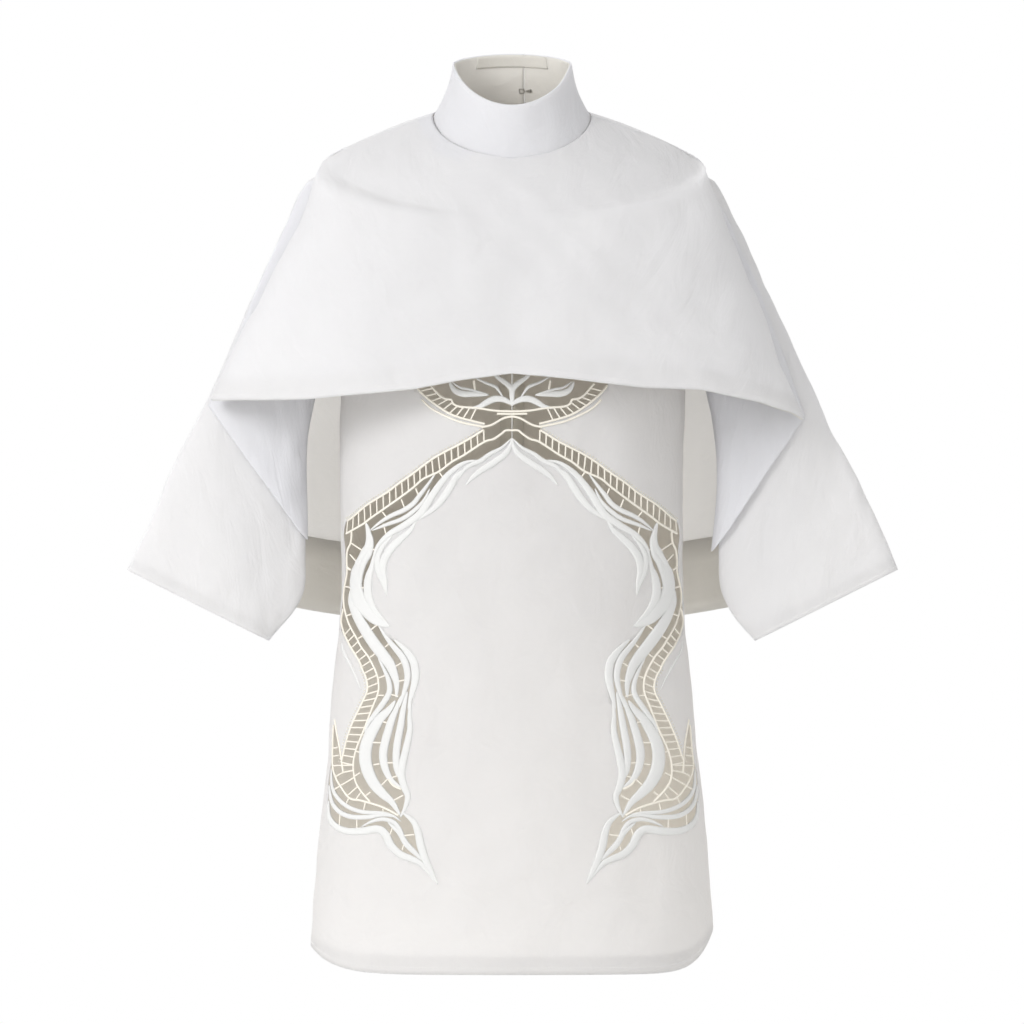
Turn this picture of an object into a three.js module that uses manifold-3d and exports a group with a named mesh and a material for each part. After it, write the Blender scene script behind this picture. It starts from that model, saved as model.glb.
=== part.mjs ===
// A short straight tunic with a cape sewn into its neck seam, wide flat sleeves and an openwork front.
// Millimetres, +Z up, +X to the wearer's left, front towards -Y. The origin is between the two side
// neck points, at the level of the shoulders' highest line, where a hanger or a neck holds the garment.
import * as THREE from "three";
import Module from "manifold-3d";
import { mergeVertices } from "three/addons/utils/BufferGeometryUtils.js";

const wasm = await Module();
wasm.setup();

// Cloth and seams
const CLOTH = 1.4; // a layer of cloth, with its turned edge
const SEAM = 0.4; // clearance where two pieces are sewn together
const FACING_STEP = CLOTH + SEAM; // from a piece's outer face to the outer face of what lines it

// Neck and collar
const NECK_BASE = { half: 79, front: 72.5, back: 58.5, zFront: -41.5, zSide: 1.5, zBack: 14 };
const NECK_RIM = { half: 59, front: 64, back: 44, zFront: 10, zSide: 54, zBack: 64 };
const COLLAR_CLOSING_X = 13; // the collar's closing edge laps this far past the centre back
const COLLAR_SEAM = 1.4; // how far the collar's lower edge stands above the cape's neck edge
const COLLAR_NU = 26;
const NECK_TAPE_HALF_ANGLE = 38;

// Body
const BODY_HEM_Z = -855;
const HEM_RISE = 42; // how much higher the hem is at the side seams
const HEM_FACING_HEIGHT = 20;
const ARMHOLE = { x: 175, z: -139, halfHeight: 86, halfDepth: 37 };
const ARMHOLE_LAP = 1.5; // how far the sleeve's head reaches past the armhole above and below
const BODY_SIDE = 173; // half width of the body between the chest and the sleeve hems
const NECK_EASE = 2.5; // how far the body's neck edge lies inside and below the cape's
const BACK_TOP = { y: NECK_BASE.back - NECK_EASE, z: NECK_BASE.zBack - 2 }; // top of the centre-back line
const BACK_SLOPE = 0.0926; // millimetres back for each millimetre down
const BACK_LINE_END_Z = -420;
const BACK_HEM_Y = 114;

// Cape
const CAPE_FOLD_Z = -140; // the level at which the hanging part folds up
const CAPE_FACING_HEIGHT = 20;
const CAPE_BACK_TURN = 62; // height of the turned-up hem of the back cape
const CAPE_SPLIT = 1; // gap between the two halves of the back cape

// Sleeves
const SLEEVE_HEM_FACING = 0.22; // share of the last sleeve stretch that the facing covers
const FLAP_GAP = 0.6; // between a sleeve and the flap that lies on it
const SLEEVE_DEPTH_AT_HEM = 15;

// Zip at the centre back
const ZIP_TOP_Z = -24;
const ZIP_LENGTH = 380;
const ZIP_OPENING_HALF = 5.2;
const TAPE_WIDTH = 12;
const TAPE_THICKNESS = 0.8;
const TEETH_WIDTH = 1.4;
const TEETH_HEIGHT = 2;
const SLIDER = { width: 7.6, length: 9, wall: 1.6, clearance: 0.35 };
const PULL = { width: 5.6, length: 22, thickness: 1, rise: 3 };

const FABRIC = new THREE.MeshStandardMaterial({ color: 0xf0f0f1, roughness: 0.85, metalness: 0 });
const INSIDE = new THREE.MeshStandardMaterial({ color: 0xe9e6e0, roughness: 0.88, metalness: 0 });
const THREAD = new THREE.MeshStandardMaterial({ color: 0xefede6, roughness: 0.6, metalness: 0 });
const TAPE = new THREE.MeshStandardMaterial({ color: 0xeceae6, roughness: 0.8, metalness: 0 });
const METAL = new THREE.MeshStandardMaterial({ color: 0xc9c9c6, roughness: 0.35, metalness: 1 });

const group = new THREE.Group();
const DEG = Math.PI / 180;
const lerp = (a, b, t) => a + (b - a) * t;

// Solids

function signedVolume(points, faces) {
  let sum = 0;
  for (const [a, b, c] of faces) {
    sum += points[a].dot(new THREE.Vector3().crossVectors(points[b], points[c])) / 6;
  }
  return sum;
}

function solidFrom(points, faces) {
  const out = signedVolume(points, faces) < 0 ? faces.map(([a, b, c]) => [a, c, b]) : faces;
  const mesh = new wasm.Mesh({
    numProp: 3,
    vertProperties: new Float32Array(points.flatMap((p) => [p.x, p.y, p.z])),
    triVerts: new Uint32Array(out.flat()),
  });
  return new wasm.Manifold(mesh);
}

function solidOf(geometry) {
  const bare = new THREE.BufferGeometry();
  bare.setAttribute("position", geometry.getAttribute("position"));
  bare.setIndex(geometry.index);
  const merged = mergeVertices(bare, 1e-4);
  const mesh = new wasm.Mesh({
    numProp: 3,
    vertProperties: merged.getAttribute("position").array,
    triVerts: new Uint32Array(merged.index.array),
  });
  return new wasm.Manifold(mesh);
}

function box(low, high) {
  const size = high.map((h, i) => h - low[i]);
  const geometry = new THREE.BoxGeometry(...size);
  geometry.translate(...low.map((l, i) => l + size[i] / 2));
  return solidOf(geometry);
}

function addNode(name, solid, material) {
  const m = solid.getMesh();
  const geometry = new THREE.BufferGeometry();
  geometry.setAttribute("position", new THREE.BufferAttribute(new Float32Array(m.vertProperties), 3));
  geometry.setIndex(new THREE.BufferAttribute(new Uint32Array(m.triVerts), 1));
  geometry.computeVertexNormals();
  const mesh = new THREE.Mesh(geometry, material);
  mesh.name = name;
  group.add(mesh);
}

// A layer of cloth: surface(u, v) for u and v from 0 to 1 is its outer face before the offset.
// side is 1 or -1, and points the offset away from the wearer.
function cloth(surface, { nu, nv, side = 1, offset = 0, thickness = CLOTH, closed = false }) {
  const step = 1e-3;
  const columns = closed ? nu : nu + 1;
  const outer = [];
  const inner = [];
  for (let j = 0; j <= nv; j++) {
    for (let i = 0; i < columns; i++) {
      const u = i / nu;
      const v = j / nv;
      const along = surface(u + step, v).sub(surface(u - step, v));
      const down = surface(u, Math.min(v + step, 1)).sub(surface(u, Math.max(v - step, 0)));
      const normal = down.cross(along).normalize().multiplyScalar(side);
      outer.push(surface(u, v).addScaledVector(normal, offset));
      inner.push(surface(u, v).addScaledVector(normal, offset - thickness));
    }
  }
  const base = outer.length;
  const at = (i, j, layer) => layer * base + j * columns + (closed ? i % nu : i);
  const faces = [];
  const quad = (a, b, c, d) => faces.push([a, b, c], [a, c, d]);
  for (let j = 0; j < nv; j++) {
    for (let i = 0; i < nu; i++) {
      quad(at(i, j, 0), at(i + 1, j, 0), at(i + 1, j + 1, 0), at(i, j + 1, 0));
      quad(at(i, j, 1), at(i, j + 1, 1), at(i + 1, j + 1, 1), at(i + 1, j, 1));
    }
  }
  for (let i = 0; i < nu; i++) {
    quad(at(i, 0, 0), at(i, 0, 1), at(i + 1, 0, 1), at(i + 1, 0, 0));
    quad(at(i, nv, 0), at(i + 1, nv, 0), at(i + 1, nv, 1), at(i, nv, 1));
  }
  for (let j = 0; j < nv && !closed; j++) {
    quad(at(0, j, 0), at(0, j + 1, 0), at(0, j + 1, 1), at(0, j, 1));
    quad(at(nu, j, 0), at(nu, j, 1), at(nu, j + 1, 1), at(nu, j + 1, 0));
  }
  return solidFrom([...outer, ...inner], faces);
}

// A prism along Y over an outline in X and Z, from yLow to yHigh.
function prism(outline, yLow, yHigh) {
  const shape = new THREE.Shape(outline.map(([x, z]) => new THREE.Vector2(x, z)));
  const geometry = new THREE.ExtrudeGeometry(shape, { depth: yHigh - yLow, bevelEnabled: false });
  geometry.rotateX(Math.PI / 2);
  geometry.translate(0, yHigh, 0);
  return solidOf(geometry);
}

// Value at z from a table of [z, value] rows that runs downwards.
function tableAt(table, z) {
  const last = table.length - 1;
  if (z >= table[0][0]) return table[0][1];
  for (let i = 0; i < last; i++) {
    if (z >= table[i + 1][0]) {
      return lerp(table[i][1], table[i + 1][1], (z - table[i][0]) / (table[i + 1][0] - table[i][0]));
    }
  }
  return table[last][1];
}

// Rows of numbers, read between rows.
function rowAt(rows, v) {
  const place = Math.min(Math.max(v, 0), 1) * (rows.length - 1);
  const i = Math.min(Math.floor(place), rows.length - 2);
  return rows[i].map((value, k) => lerp(value, rows[i + 1][k], place - i));
}

// Body

// Each row: half width, height at the sides, depth and height at the front, height at the back.
const BODY_ROWS = [
  [NECK_BASE.half, NECK_BASE.zSide - NECK_EASE, NECK_EASE - NECK_BASE.front, NECK_BASE.zFront - 0.5, BACK_TOP.z],
  [118, -16, -80, -60, 2],
  [148, -28, -88, -78, -18],
  [168, -41, -94, -95, -45],
  [BODY_SIDE + 1, -60, -99, -115, -75],
  [BODY_SIDE + 1, -100, -104, -145, -115],
  [BODY_SIDE, -170, -107, -195, -180],
  [BODY_SIDE - 1, -240, -107, -250, -245],
  [BODY_SIDE - 1, -310, -105, -310, -310],
  [BODY_SIDE - 1, -400, -102, -400, -400],
  [BODY_SIDE, -505, -100, -505, -505],
  [182.5, -600, -103, -600, -600],
  [191, -700, -107, -700, -700],
  [199.5, -785, -110, -785, -785],
];
const FLAT_ROWS = BODY_ROWS.slice(8);
const HEM_HALF = 203.5;
const HEM_FRONT_Y = -112;

function backDepth(z) {
  if (z >= BACK_LINE_END_Z) return BACK_TOP.y + (BACK_TOP.z - z) * BACK_SLOPE;
  const atEnd = BACK_TOP.y + (BACK_TOP.z - BACK_LINE_END_Z) * BACK_SLOPE;
  return lerp(atEnd, BACK_HEM_Y, (BACK_LINE_END_Z - z) / (BACK_LINE_END_Z - BODY_HEM_Z));
}

// The hem's corner is rounder on the wearer's left.
const hemZ = (theta) => {
  const out = Math.abs(Math.sin(theta));
  return BODY_HEM_Z + (Math.sin(theta) > 0 ? HEM_RISE * out ** 12 : HEM_RISE * 0.62 * out ** 8);
};

const HALF_TABLE = [...FLAT_ROWS.map((r) => [r[1], r[0]]), [BODY_HEM_Z, HEM_HALF]];
const FRONT_TABLE = [...FLAT_ROWS.map((r) => [r[1], r[2]]), [BODY_HEM_Z, HEM_FRONT_Y]];

// theta is 0 at the centre front, 90 degrees at the wearer's left side and 180 degrees at the back.
function bodyPoint(theta, v) {
  const hem = hemZ(theta);
  const hemRow = [tableAt(HALF_TABLE, hem), hem, tableAt(FRONT_TABLE, hem), hem, hem];
  const [half, zSide, yFront, zFront, zBack] = rowAt([...BODY_ROWS, hemRow], v);
  const c = Math.cos(theta);
  if (c >= 0) return new THREE.Vector3(half * Math.sin(theta), yFront * c, lerp(zSide, zFront, c));
  const z = lerp(zSide, zBack, -c);
  return new THREE.Vector3(half * Math.sin(theta), backDepth(zBack) * -c, z);
}

function lowerBodyPoint(theta, z) {
  const c = Math.cos(theta);
  const y = c >= 0 ? tableAt(FRONT_TABLE, z) * c : backDepth(z) * -c;
  return new THREE.Vector3(tableAt(HALF_TABLE, z) * Math.sin(theta), y, z);
}

const SIDE_GAP = 0.4 * DEG;
const BODY_NV = BODY_ROWS.length;

// Half the gap between the back panels: open along the zip, and closed by a seam from the second row
// below the zip's end.
function backGapHalf(v) {
  const rowAbove = rowAt(BODY_ROWS, v - 1 / BODY_NV);
  return rowAbove[4] >= ZIP_TOP_Z - ZIP_LENGTH ? ZIP_OPENING_HALF : SEAM / 2;
}

const zipEdgeAngle = (v) => Math.PI - Math.asin(backGapHalf(v) / rowAt(BODY_ROWS, v)[0]);

function armholeCutter(side) {
  const geometry = new THREE.CylinderGeometry(1, 1, 110, 32);
  geometry.rotateZ(Math.PI / 2);
  geometry.scale(1, ARMHOLE.halfDepth, ARMHOLE.halfHeight);
  geometry.translate(side * (ARMHOLE.x + 10), 0, ARMHOLE.z);
  return solidOf(geometry);
}

const armholes = armholeCutter(1).add(armholeCutter(-1));
const FRONT_NU = 20;
const BACK_NU = 9;
const FRONT_EDGE = 90 * DEG - SIDE_GAP;
const BACK_EDGE = 90 * DEG + SIDE_GAP;

const frontCloth = cloth((u, v) => bodyPoint(lerp(-FRONT_EDGE, FRONT_EDGE, u), v), { nu: FRONT_NU, nv: BODY_NV });

function backPanel(side) {
  const surface = (u, v) => bodyPoint(side * lerp(BACK_EDGE, zipEdgeAngle(v), u), v);
  return cloth(surface, { nu: BACK_NU, nv: BODY_NV, side }).subtract(armholes);
}

function hemFacing(from, to, nu, side) {
  const surface = (u, v) => {
    const theta = lerp(from, to, u);
    return lowerBodyPoint(theta, hemZ(theta) + HEM_FACING_HEIGHT * (1 - v) + SEAM);
  };
  return cloth(surface, { nu, nv: 1, side, offset: -FACING_STEP, thickness: 1 });
}

// Openwork in the front panel. Outlines are on the wearer's right; the left is their mirror image.
const LACE_EDGE = [
  [-26, -311], [-47, -323], [-76, -340], [-100, -357], [-123, -373], [-150, -392], [-165, -403],
  [-169, -430], [-168, -470], [-170, -500], [-166, -520], [-155, -541], [-146, -556], [-143, -573],
  [-150, -593], [-160, -617], [-170, -645], [-181, -655], [-185, -680], [-185, -698], [-176, -709],
  [-160, -715], [-128, -713], [-122, -729], [-105, -740], [-90, -748], [-75, -766], [-86, -738],
  [-90, -712], [-100, -697], [-103, -688], [-99, -675], [-108, -655], [-105, -636], [-100, -615],
  [-103, -592], [-95, -572], [-95, -555], [-104, -534], [-122, -520], [-138, -490], [-124, -476],
  [-120, -452], [-104, -427], [-95, -406], [-70, -394], [-57, -374], [-42, -367], [-28, -354],
  [-12, -342], [0, -324],
];
const BOWL_EDGE = [[0, -236], [-50, -239], [-88, -254], [-97, -268], [-74, -291], [-54, -300], [-26, -311]];
const LACE_SPLIT_Z = -311; // the bowl motif ends and the bands begin at this level

// The side of the band away from the middle, the inside of its ladder, and the free inner edge.
const OUTER_RAIL = LACE_EDGE.slice(0, 17);
const UPPER_INNER_RAIL = [
  [0, -315], [-16, -323], [-44, -337], [-74, -353], [-95, -370], [-116, -384], [-135, -399], [-156, -412],
];
const LOWER_INNER_RAIL = [
  [-156, -412], [-157, -440], [-156, -470], [-158, -498], [-150, -526], [-139, -545], [-132, -570],
  [-137, -592], [-148, -617], [-156, -645], [-156, -664], [-148, -678], [-128, -688], [-104, -697],
];
const BOTTOM_RAIL = LACE_EDGE.slice(16, 27);
const FREE_EDGE = LACE_EDGE.slice(26);
const LEAVES = [
  { points: [[0, -327], [-22, -344], [-45, -354], [-60, -374], [-78, -392], [-97, -404]], width: 9 },
  { points: [[-97, -404], [-108, -424], [-122, -446], [-125, -472]], width: 9 },
  { points: [[-92, -378], [-120, -402], [-146, -414], [-152, -450], [-152, -490], [-130, -524]], width: 7 },
  { points: [[-142, -498], [-118, -540], [-115, -575], [-132, -620], [-130, -652], [-106, -694]], width: 8 },
  { points: [[-178, -664], [-176, -690], [-150, -700], [-118, -703], [-96, -722], [-80, -752]], width: 7 },
];
const BRACES = [
  [[-62, -346], [-58, -372]], [[-104, -377], [-100, -404]], [[-150, -430], [-122, -446]],
  [[-150, -470], [-124, -470]], [[-140, -545], [-116, -552]], [[-117, -552], [-96, -556]],
  [[-134, -590], [-103, -592]], [[-132, -620], [-102, -618]], [[-154, -640], [-104, -640]],
  [[-150, -672], [-104, -672]], [[-178, -680], [-150, -676]], [[-150, -714], [-148, -688]],
];
const RAIL_WIDTH = 3;
const RUNG_WIDTH = 1.8;
const RUNGS = { upper: 9, lower: 13 };

function lengthsOf(points) {
  const sums = [0];
  for (let i = 1; i < points.length; i++) {
    const [ax, az] = points[i - 1];
    const [bx, bz] = points[i];
    sums.push(sums[i - 1] + Math.hypot(bx - ax, bz - az));
  }
  return sums;
}

function pointAlong(points, share) {
  const sums = lengthsOf(points);
  const target = share * sums[sums.length - 1];
  let i = 1;
  while (i < sums.length - 1 && sums[i] < target) i++;
  const t = (target - sums[i - 1]) / (sums[i] - sums[i - 1]);
  return [lerp(points[i - 1][0], points[i][0], t), lerp(points[i - 1][1], points[i][1], t)];
}

// The outline's points moved to its left by a distance, with mitred corners limited at sharp bends.
function moved(points, distance, closed) {
  const count = points.length;
  return points.map(([x, z], i) => {
    const [px, pz] = closed || i > 0 ? points[(i + count - 1) % count] : [x, z];
    const [nx, nz] = closed || i < count - 1 ? points[(i + 1) % count] : [x, z];
    const before = new THREE.Vector2(x - px, z - pz).normalize();
    const after = new THREE.Vector2(nx - x, nz - z).normalize();
    const middle = before.clone().add(after).normalize();
    const reach = distance / Math.max(0.3, middle.dot(after.length() ? after : before));
    return [x - middle.y * reach, z + middle.x * reach];
  });
}

// A flat strip along a line of points, a little longer than the line at both ends.
function strip(points, width) {
  const [first, last] = [points[0], points[points.length - 1]];
  const stretch = ([x, z], [fx, fz]) => {
    const length = Math.hypot(x - fx, z - fz);
    return [x + ((x - fx) / length) * width * 0.3, z + ((z - fz) / length) * width * 0.3];
  };
  const line = [stretch(first, points[1]), ...points.slice(1, -1), stretch(last, points[points.length - 2])];
  return prism([...moved(line, width / 2), ...moved(line, -width / 2).reverse()], -200, 0);
}

function joined(solids) {
  return solids.reduce((sum, solid) => sum.add(solid));
}

// A closed outline moved inwards by a distance, whichever way it runs.
function inset(outline, distance) {
  const area = outline.reduce((sum, [x, z], i) => {
    const [nx, nz] = outline[(i + 1) % outline.length];
    return sum + (x * nz - nx * z) / 2;
  }, 0);
  return moved(outline, Math.sign(area) * distance, true);
}

const mirrored = (points) => points.map(([x, z]) => [-x, z]).reverse();
const BAND_HALF = [[0, LACE_SPLIT_Z], ...LACE_EDGE];
const BOWL_OUTLINE = [...BOWL_EDGE, ...mirrored(BOWL_EDGE.slice(1))];

const bandOpening = (side) => prism(side < 0 ? BAND_HALF : mirrored(BAND_HALF), -200, 0);
const laceOpening = joined([
  bandOpening(1),
  bandOpening(-1),
  prism(BOWL_OUTLINE, -200, 0),
  prism([[-1, -330], [1, -330], [1, -300], [-1, -300]], -200, 0),
]);

function rungs(from, to, fromStart, fromEnd, count) {
  const made = [];
  for (let i = 0; i <= count; i++) {
    const t = i / count;
    made.push(strip([pointAlong(from, lerp(fromStart, fromEnd, t)), pointAlong(to, t)], RUNG_WIDTH));
  }
  return made;
}

function bandLattice() {
  const upperShare = lengthsOf(OUTER_RAIL)[6] / lengthsOf(OUTER_RAIL)[16];
  return joined([
    strip(OUTER_RAIL, RAIL_WIDTH * 2),
    strip(BOTTOM_RAIL, RAIL_WIDTH * 2),
    strip(FREE_EDGE, RAIL_WIDTH * 2),
    strip([[0, -313], [-26, -313]], RAIL_WIDTH),
    strip(UPPER_INNER_RAIL, RAIL_WIDTH),
    strip(LOWER_INNER_RAIL, RAIL_WIDTH),
    strip([[-1.5, -312], [-1.5, -330]], RAIL_WIDTH),
    ...LEAVES.map((leaf) => strip(leaf.points, leaf.width)),
    ...BRACES.map((ends) => strip(ends, RUNG_WIDTH)),
    ...rungs(OUTER_RAIL, UPPER_INNER_RAIL, 0.03, upperShare, RUNGS.upper),
    ...rungs(OUTER_RAIL, LOWER_INNER_RAIL.slice(0, 10), upperShare, 1, RUNGS.lower),
  ]);
}

function bowlLattice() {
  const right = [[-97, -268], [-74, -291], [-54, -300], [-26, -311]];
  const inner = [[-74, -262], [-60, -279], [-40, -292], [0, -297]];
  const half = joined([
    strip([...BOWL_EDGE, [0, -311]], RAIL_WIDTH * 2),
    strip(inner, RAIL_WIDTH),
    strip([[-62, -243], [-56, -272], [-34, -280], [-10, -284], [0, -291]], 7),
    strip([[-36, -240], [-28, -262], [-10, -282], [0, -300]], 5),
    strip([[-1, -240], [-1, -309]], 3),
    ...rungs(right, inner, 0.05, 1, 7),
  ]);
  return half.add(half.mirror([1, 0, 0]));
}

const laceShell = cloth((u, v) => bodyPoint(lerp(-88, 88, u) * DEG, lerp(6.6, 13.2, v) / BODY_NV), {
  nu: 12,
  nv: 4,
  offset: -0.1,
  thickness: CLOTH - 0.2,
});

function laceNode(outline, lattice) {
  return laceShell.intersect(prism(inset(outline, SEAM), -200, 0)).intersect(lattice);
}

addNode("front_panel", frontCloth.subtract(armholes).subtract(laceOpening), FABRIC);
addNode("lace_bowl", laceNode(BOWL_OUTLINE, bowlLattice()), THREAD);
const bandRight = laceNode(BAND_HALF, bandLattice());
addNode("lace_band_right", bandRight, THREAD);
addNode("lace_band_left", bandRight.mirror([1, 0, 0]), THREAD);
addNode("hem_facing_front", hemFacing(-FRONT_EDGE, FRONT_EDGE, FRONT_NU, 1), FABRIC);
for (const [name, side] of [["left", 1], ["right", -1]]) {
  addNode(`back_panel_${name}`, backPanel(side), FABRIC);
  const facing = hemFacing(side * BACK_EDGE, side * zipEdgeAngle(1), BACK_NU, side);
  addNode(`hem_facing_back_${name}`, facing, FABRIC);
}

// Collar: it stands on the neck seam, and opens at its closing edge behind.

function ring(spec, theta, drop = 0) {
  const c = Math.cos(theta);
  const y = c >= 0 ? -spec.front * c : -spec.back * c;
  const z = c >= 0 ? lerp(spec.zSide, spec.zFront, c) : lerp(spec.zSide, spec.zBack, -c);
  return new THREE.Vector3(spec.half * Math.sin(theta), y, z - drop);
}

const closingAngle = (half) => Math.PI - Math.asin(COLLAR_CLOSING_X / half);

// u runs once round from the closing edge, v from the seam up to the rim.
function collarPoint(u, v) {
  const half = lerp(NECK_BASE.half, NECK_RIM.half, v);
  const gap = 0.4 / half;
  const start = closingAngle(half) + gap - 2 * Math.PI;
  const theta = lerp(start, closingAngle(half) - gap, u);
  const waist = 3.5 * Math.sin(Math.PI * v); // the collar is a little hollow between seam and rim
  const point = ring(NECK_BASE, theta).lerp(ring(NECK_RIM, theta), v);
  point.z += COLLAR_SEAM * (1 - v);
  return point.add(new THREE.Vector3(-Math.sin(theta) * waist, Math.cos(theta) * waist, 0));
}

addNode("collar_outer", cloth(collarPoint, { nu: COLLAR_NU, nv: 3, side: -1 }), FABRIC);
addNode(
  "collar_lining",
  cloth((u, v) => collarPoint(u, lerp(0.04, 0.985, v)), {
    nu: COLLAR_NU,
    nv: 3,
    side: -1,
    offset: -FACING_STEP,
    thickness: 1,
  }),
  INSIDE,
);

function neckTapePoint(u, v) {
  const theta = lerp(-NECK_TAPE_HALF_ANGLE, NECK_TAPE_HALF_ANGLE, u) * DEG + Math.PI;
  const point = ring(NECK_RIM, theta, 2).lerp(ring(NECK_BASE, theta), (1 - v) * 0.24);
  return point.add(new THREE.Vector3(-Math.sin(theta), Math.cos(theta), 0).multiplyScalar(2.4 * (1 - v)));
}

addNode(
  "neck_tape",
  cloth(neckTapePoint, { nu: 10, nv: 1, side: -1, offset: -2 * FACING_STEP + 0.2, thickness: 0.8 }),
  INSIDE,
);

// Hook and eye inside the collar, across its closing edge, a little above the neck seam.
function flatRing(outline, hole, thickness) {
  const shape = new THREE.Shape(outline.map(([x, z]) => new THREE.Vector2(x, z)));
  if (hole) shape.holes.push(new THREE.Path(hole.map(([x, z]) => new THREE.Vector2(x, z))));
  const geometry = new THREE.ExtrudeGeometry(shape, { depth: thickness, bevelEnabled: false });
  geometry.rotateX(Math.PI / 2);
  return geometry;
}

const HOOK_HEIGHT_SHARE = 0.24; // of the way from the neck seam to the rim
const hookPlace = collarPoint(0.9999, HOOK_HEIGHT_SHARE);
const HOOK_INSET = 4.5; // from the collar's outer face to the hook and eye inside its lining
const eye = flatRing(
  [[-6, -2.6], [-1, -2.6], [0, 0], [-1, 2.6], [-6, 2.6]],
  [[-5, -1.6], [-5, 1.6], [-1.7, 1.6], [-1.1, 0], [-1.7, -1.6]],
  0.8,
);
const hook = flatRing([[1, -0.5], [6, -2.2], [7, -1.6], [7, 1.6], [6, 2.2], [1, 0.5]], null, 0.8);
for (const [name, geometry] of [["collar_eye", eye], ["collar_hook", hook]]) {
  geometry.rotateX(16 * DEG);
  geometry.rotateZ(-10 * DEG);
  geometry.translate(hookPlace.x, hookPlace.y - HOOK_INSET, hookPlace.z);
  addNode(name, solidOf(geometry), METAL);
}

// Cape

// Each row: on the wearer's right, half width, height and depth of the side edge; the same on the left;
// then depth and height at the middle.
const CAPE_NECK_SIDE = [NECK_BASE.half + 0.5, NECK_BASE.zSide, 0];
const CAPE_FRONT_ROWS = [
  [...CAPE_NECK_SIDE, ...CAPE_NECK_SIDE, -NECK_BASE.front, NECK_BASE.zFront],
  [122, -13.5, 0, 122, -13.5, 0, -84, -60],
  [160, -28, 0, 157, -27, 0, -94, -79],
  [184, -40, 0, 187, -43, 0, -101, -97],
  [194, -55, -27, 194, -56, -27, -105, -108],
  [201, -74, -37, 201, -74, -37, -109, -120],
  [217, -113, -45, 216, -113, -45, -116, -145],
  [251, -176, -38, 244, -177, -38, -121, -182],
  [273, -222, -31, 261, -224, -31, -126, -218],
  [300, -284, -26, 290, -304, -28, -131, -258],
];
const CAPE_BACK_ROWS = [
  [...CAPE_NECK_SIDE, ...CAPE_NECK_SIDE, NECK_BASE.back, NECK_BASE.zBack],
  [122, -13.5, 0, 122, -13.5, 0, 75, 4],
  [160, -28, 0, 157, -27, 0, 87, -18],
  [184, -40, 0, 187, -43, 0, 96, -50],
  [194, -55, 27, 194, -56, 27, 100, -67],
  [201, -74, 37, 201, -74, 37, 103, -85],
  [217, -113, 45, 216, -113, 45, 108, -120],
  [251, -176, 40, 244, -177, 40, 112, -185],
  [287, -300, 36, 283, -304, 36, 119, -330],
  [300, -452, 36, 298, -452, 36, 130, -510],
];

// s runs from -1 at the wearer's right edge to 1 at the left.
function capePoint(rows, s, v) {
  const row = rowAt(rows, v);
  const [half, zSide, ySide] = s < 0 ? row.slice(0, 3) : row.slice(3, 6);
  const angle = (s * Math.PI) / 2;
  const round = Math.cos(angle);
  const straight = (1 - Math.abs(Math.sin(angle))) ** 2;
  const dip = rows === CAPE_FRONT_ROWS ? lerp(round, straight, Math.max(0, v * 1.5 - 0.5)) : round;
  return new THREE.Vector3(half * Math.sin(angle), lerp(ySide, row[6], round), lerp(zSide, row[7], dip));
}

const SHOULDER_GAP = 0.005;
const CAPE_NV = CAPE_FRONT_ROWS.length - 1;
const above = box([-500, -300, CAPE_FOLD_Z + SEAM / 2], [500, 300, 200]);
const below = box([-500, -300, -700], [500, 300, CAPE_FOLD_Z - SEAM / 2]);

const capeFront = cloth((u, v) => capePoint(CAPE_FRONT_ROWS, lerp(-1, 1, u) * (1 - SHOULDER_GAP), v), {
  nu: 24,
  nv: CAPE_NV,
  side: 1,
});
addNode("cape_front_top", capeFront.intersect(above), FABRIC);
addNode("cape_front_fall", capeFront.intersect(below), FABRIC);

function hemBand(rows, height, from, to, nu, side) {
  const lastRow = (s) => Math.abs(capePoint(rows, s, 1).z - capePoint(rows, s, 1 - 1 / CAPE_NV).z);
  const share = (s) => height / lastRow(s) / CAPE_NV;
  const surface = (u, v) => {
    const s = lerp(from, to, u);
    return capePoint(rows, s, lerp(1 - share(s), 0.999, v));
  };
  return cloth(surface, { nu, nv: 1, side, offset: -FACING_STEP, thickness: 1 });
}

addNode("cape_front_facing", hemBand(CAPE_FRONT_ROWS, CAPE_FACING_HEIGHT, -0.985, 0.985, 24, 1), FABRIC);

for (const [name, side] of [["left", 1], ["right", -1]]) {
  const middle = (v) => (2 / Math.PI) * Math.asin(CAPE_SPLIT / 2 / rowAt(CAPE_BACK_ROWS, v)[0]);
  const surface = (u, v) => capePoint(CAPE_BACK_ROWS, side * lerp(middle(v), 1 - SHOULDER_GAP, u), v);
  const half = cloth(surface, { nu: 12, nv: CAPE_NV, side: -side });
  addNode(`cape_back_top_${name}`, half.intersect(above), FABRIC);
  addNode(`cape_back_fall_${name}`, half.intersect(below), FABRIC);
  const hem = hemBand(CAPE_BACK_ROWS, CAPE_BACK_TURN, side * 0.01, side * 0.985, 12, -side);
  addNode(`cape_back_hem_${name}`, hem, INSIDE);
}

// Sleeves: flat tubes that spread from the armhole. Each row is the outer edge, the inner edge and half
// the depth, as x, z, x, z and depth, with x measured away from the middle.
const SLEEVE_HEAD_HALF = ARMHOLE.halfHeight + ARMHOLE_LAP;
const SLEEVE_ROWS = [
  [ARMHOLE.x, ARMHOLE.z + SLEEVE_HEAD_HALF, ARMHOLE.x, ARMHOLE.z - SLEEVE_HEAD_HALF, ARMHOLE.halfDepth + 2],
  [202.5, -64, 189, -246, 31],
  [227, -110, 198, -280, 24],
  [262, -186, 206, -332, 18],
  [299, -271, 207, -386, 16],
  [338, -348, 207, -440, 15],
  [361, -401, 212, -481, 15],
  [386, -453, 242, -525, SLEEVE_DEPTH_AT_HEM],
];
const SLEEVE_NV = SLEEVE_ROWS.length - 1;
const AROUND = 20; // facets round a sleeve
const FACET = (2 * Math.PI) / AROUND;
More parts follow.
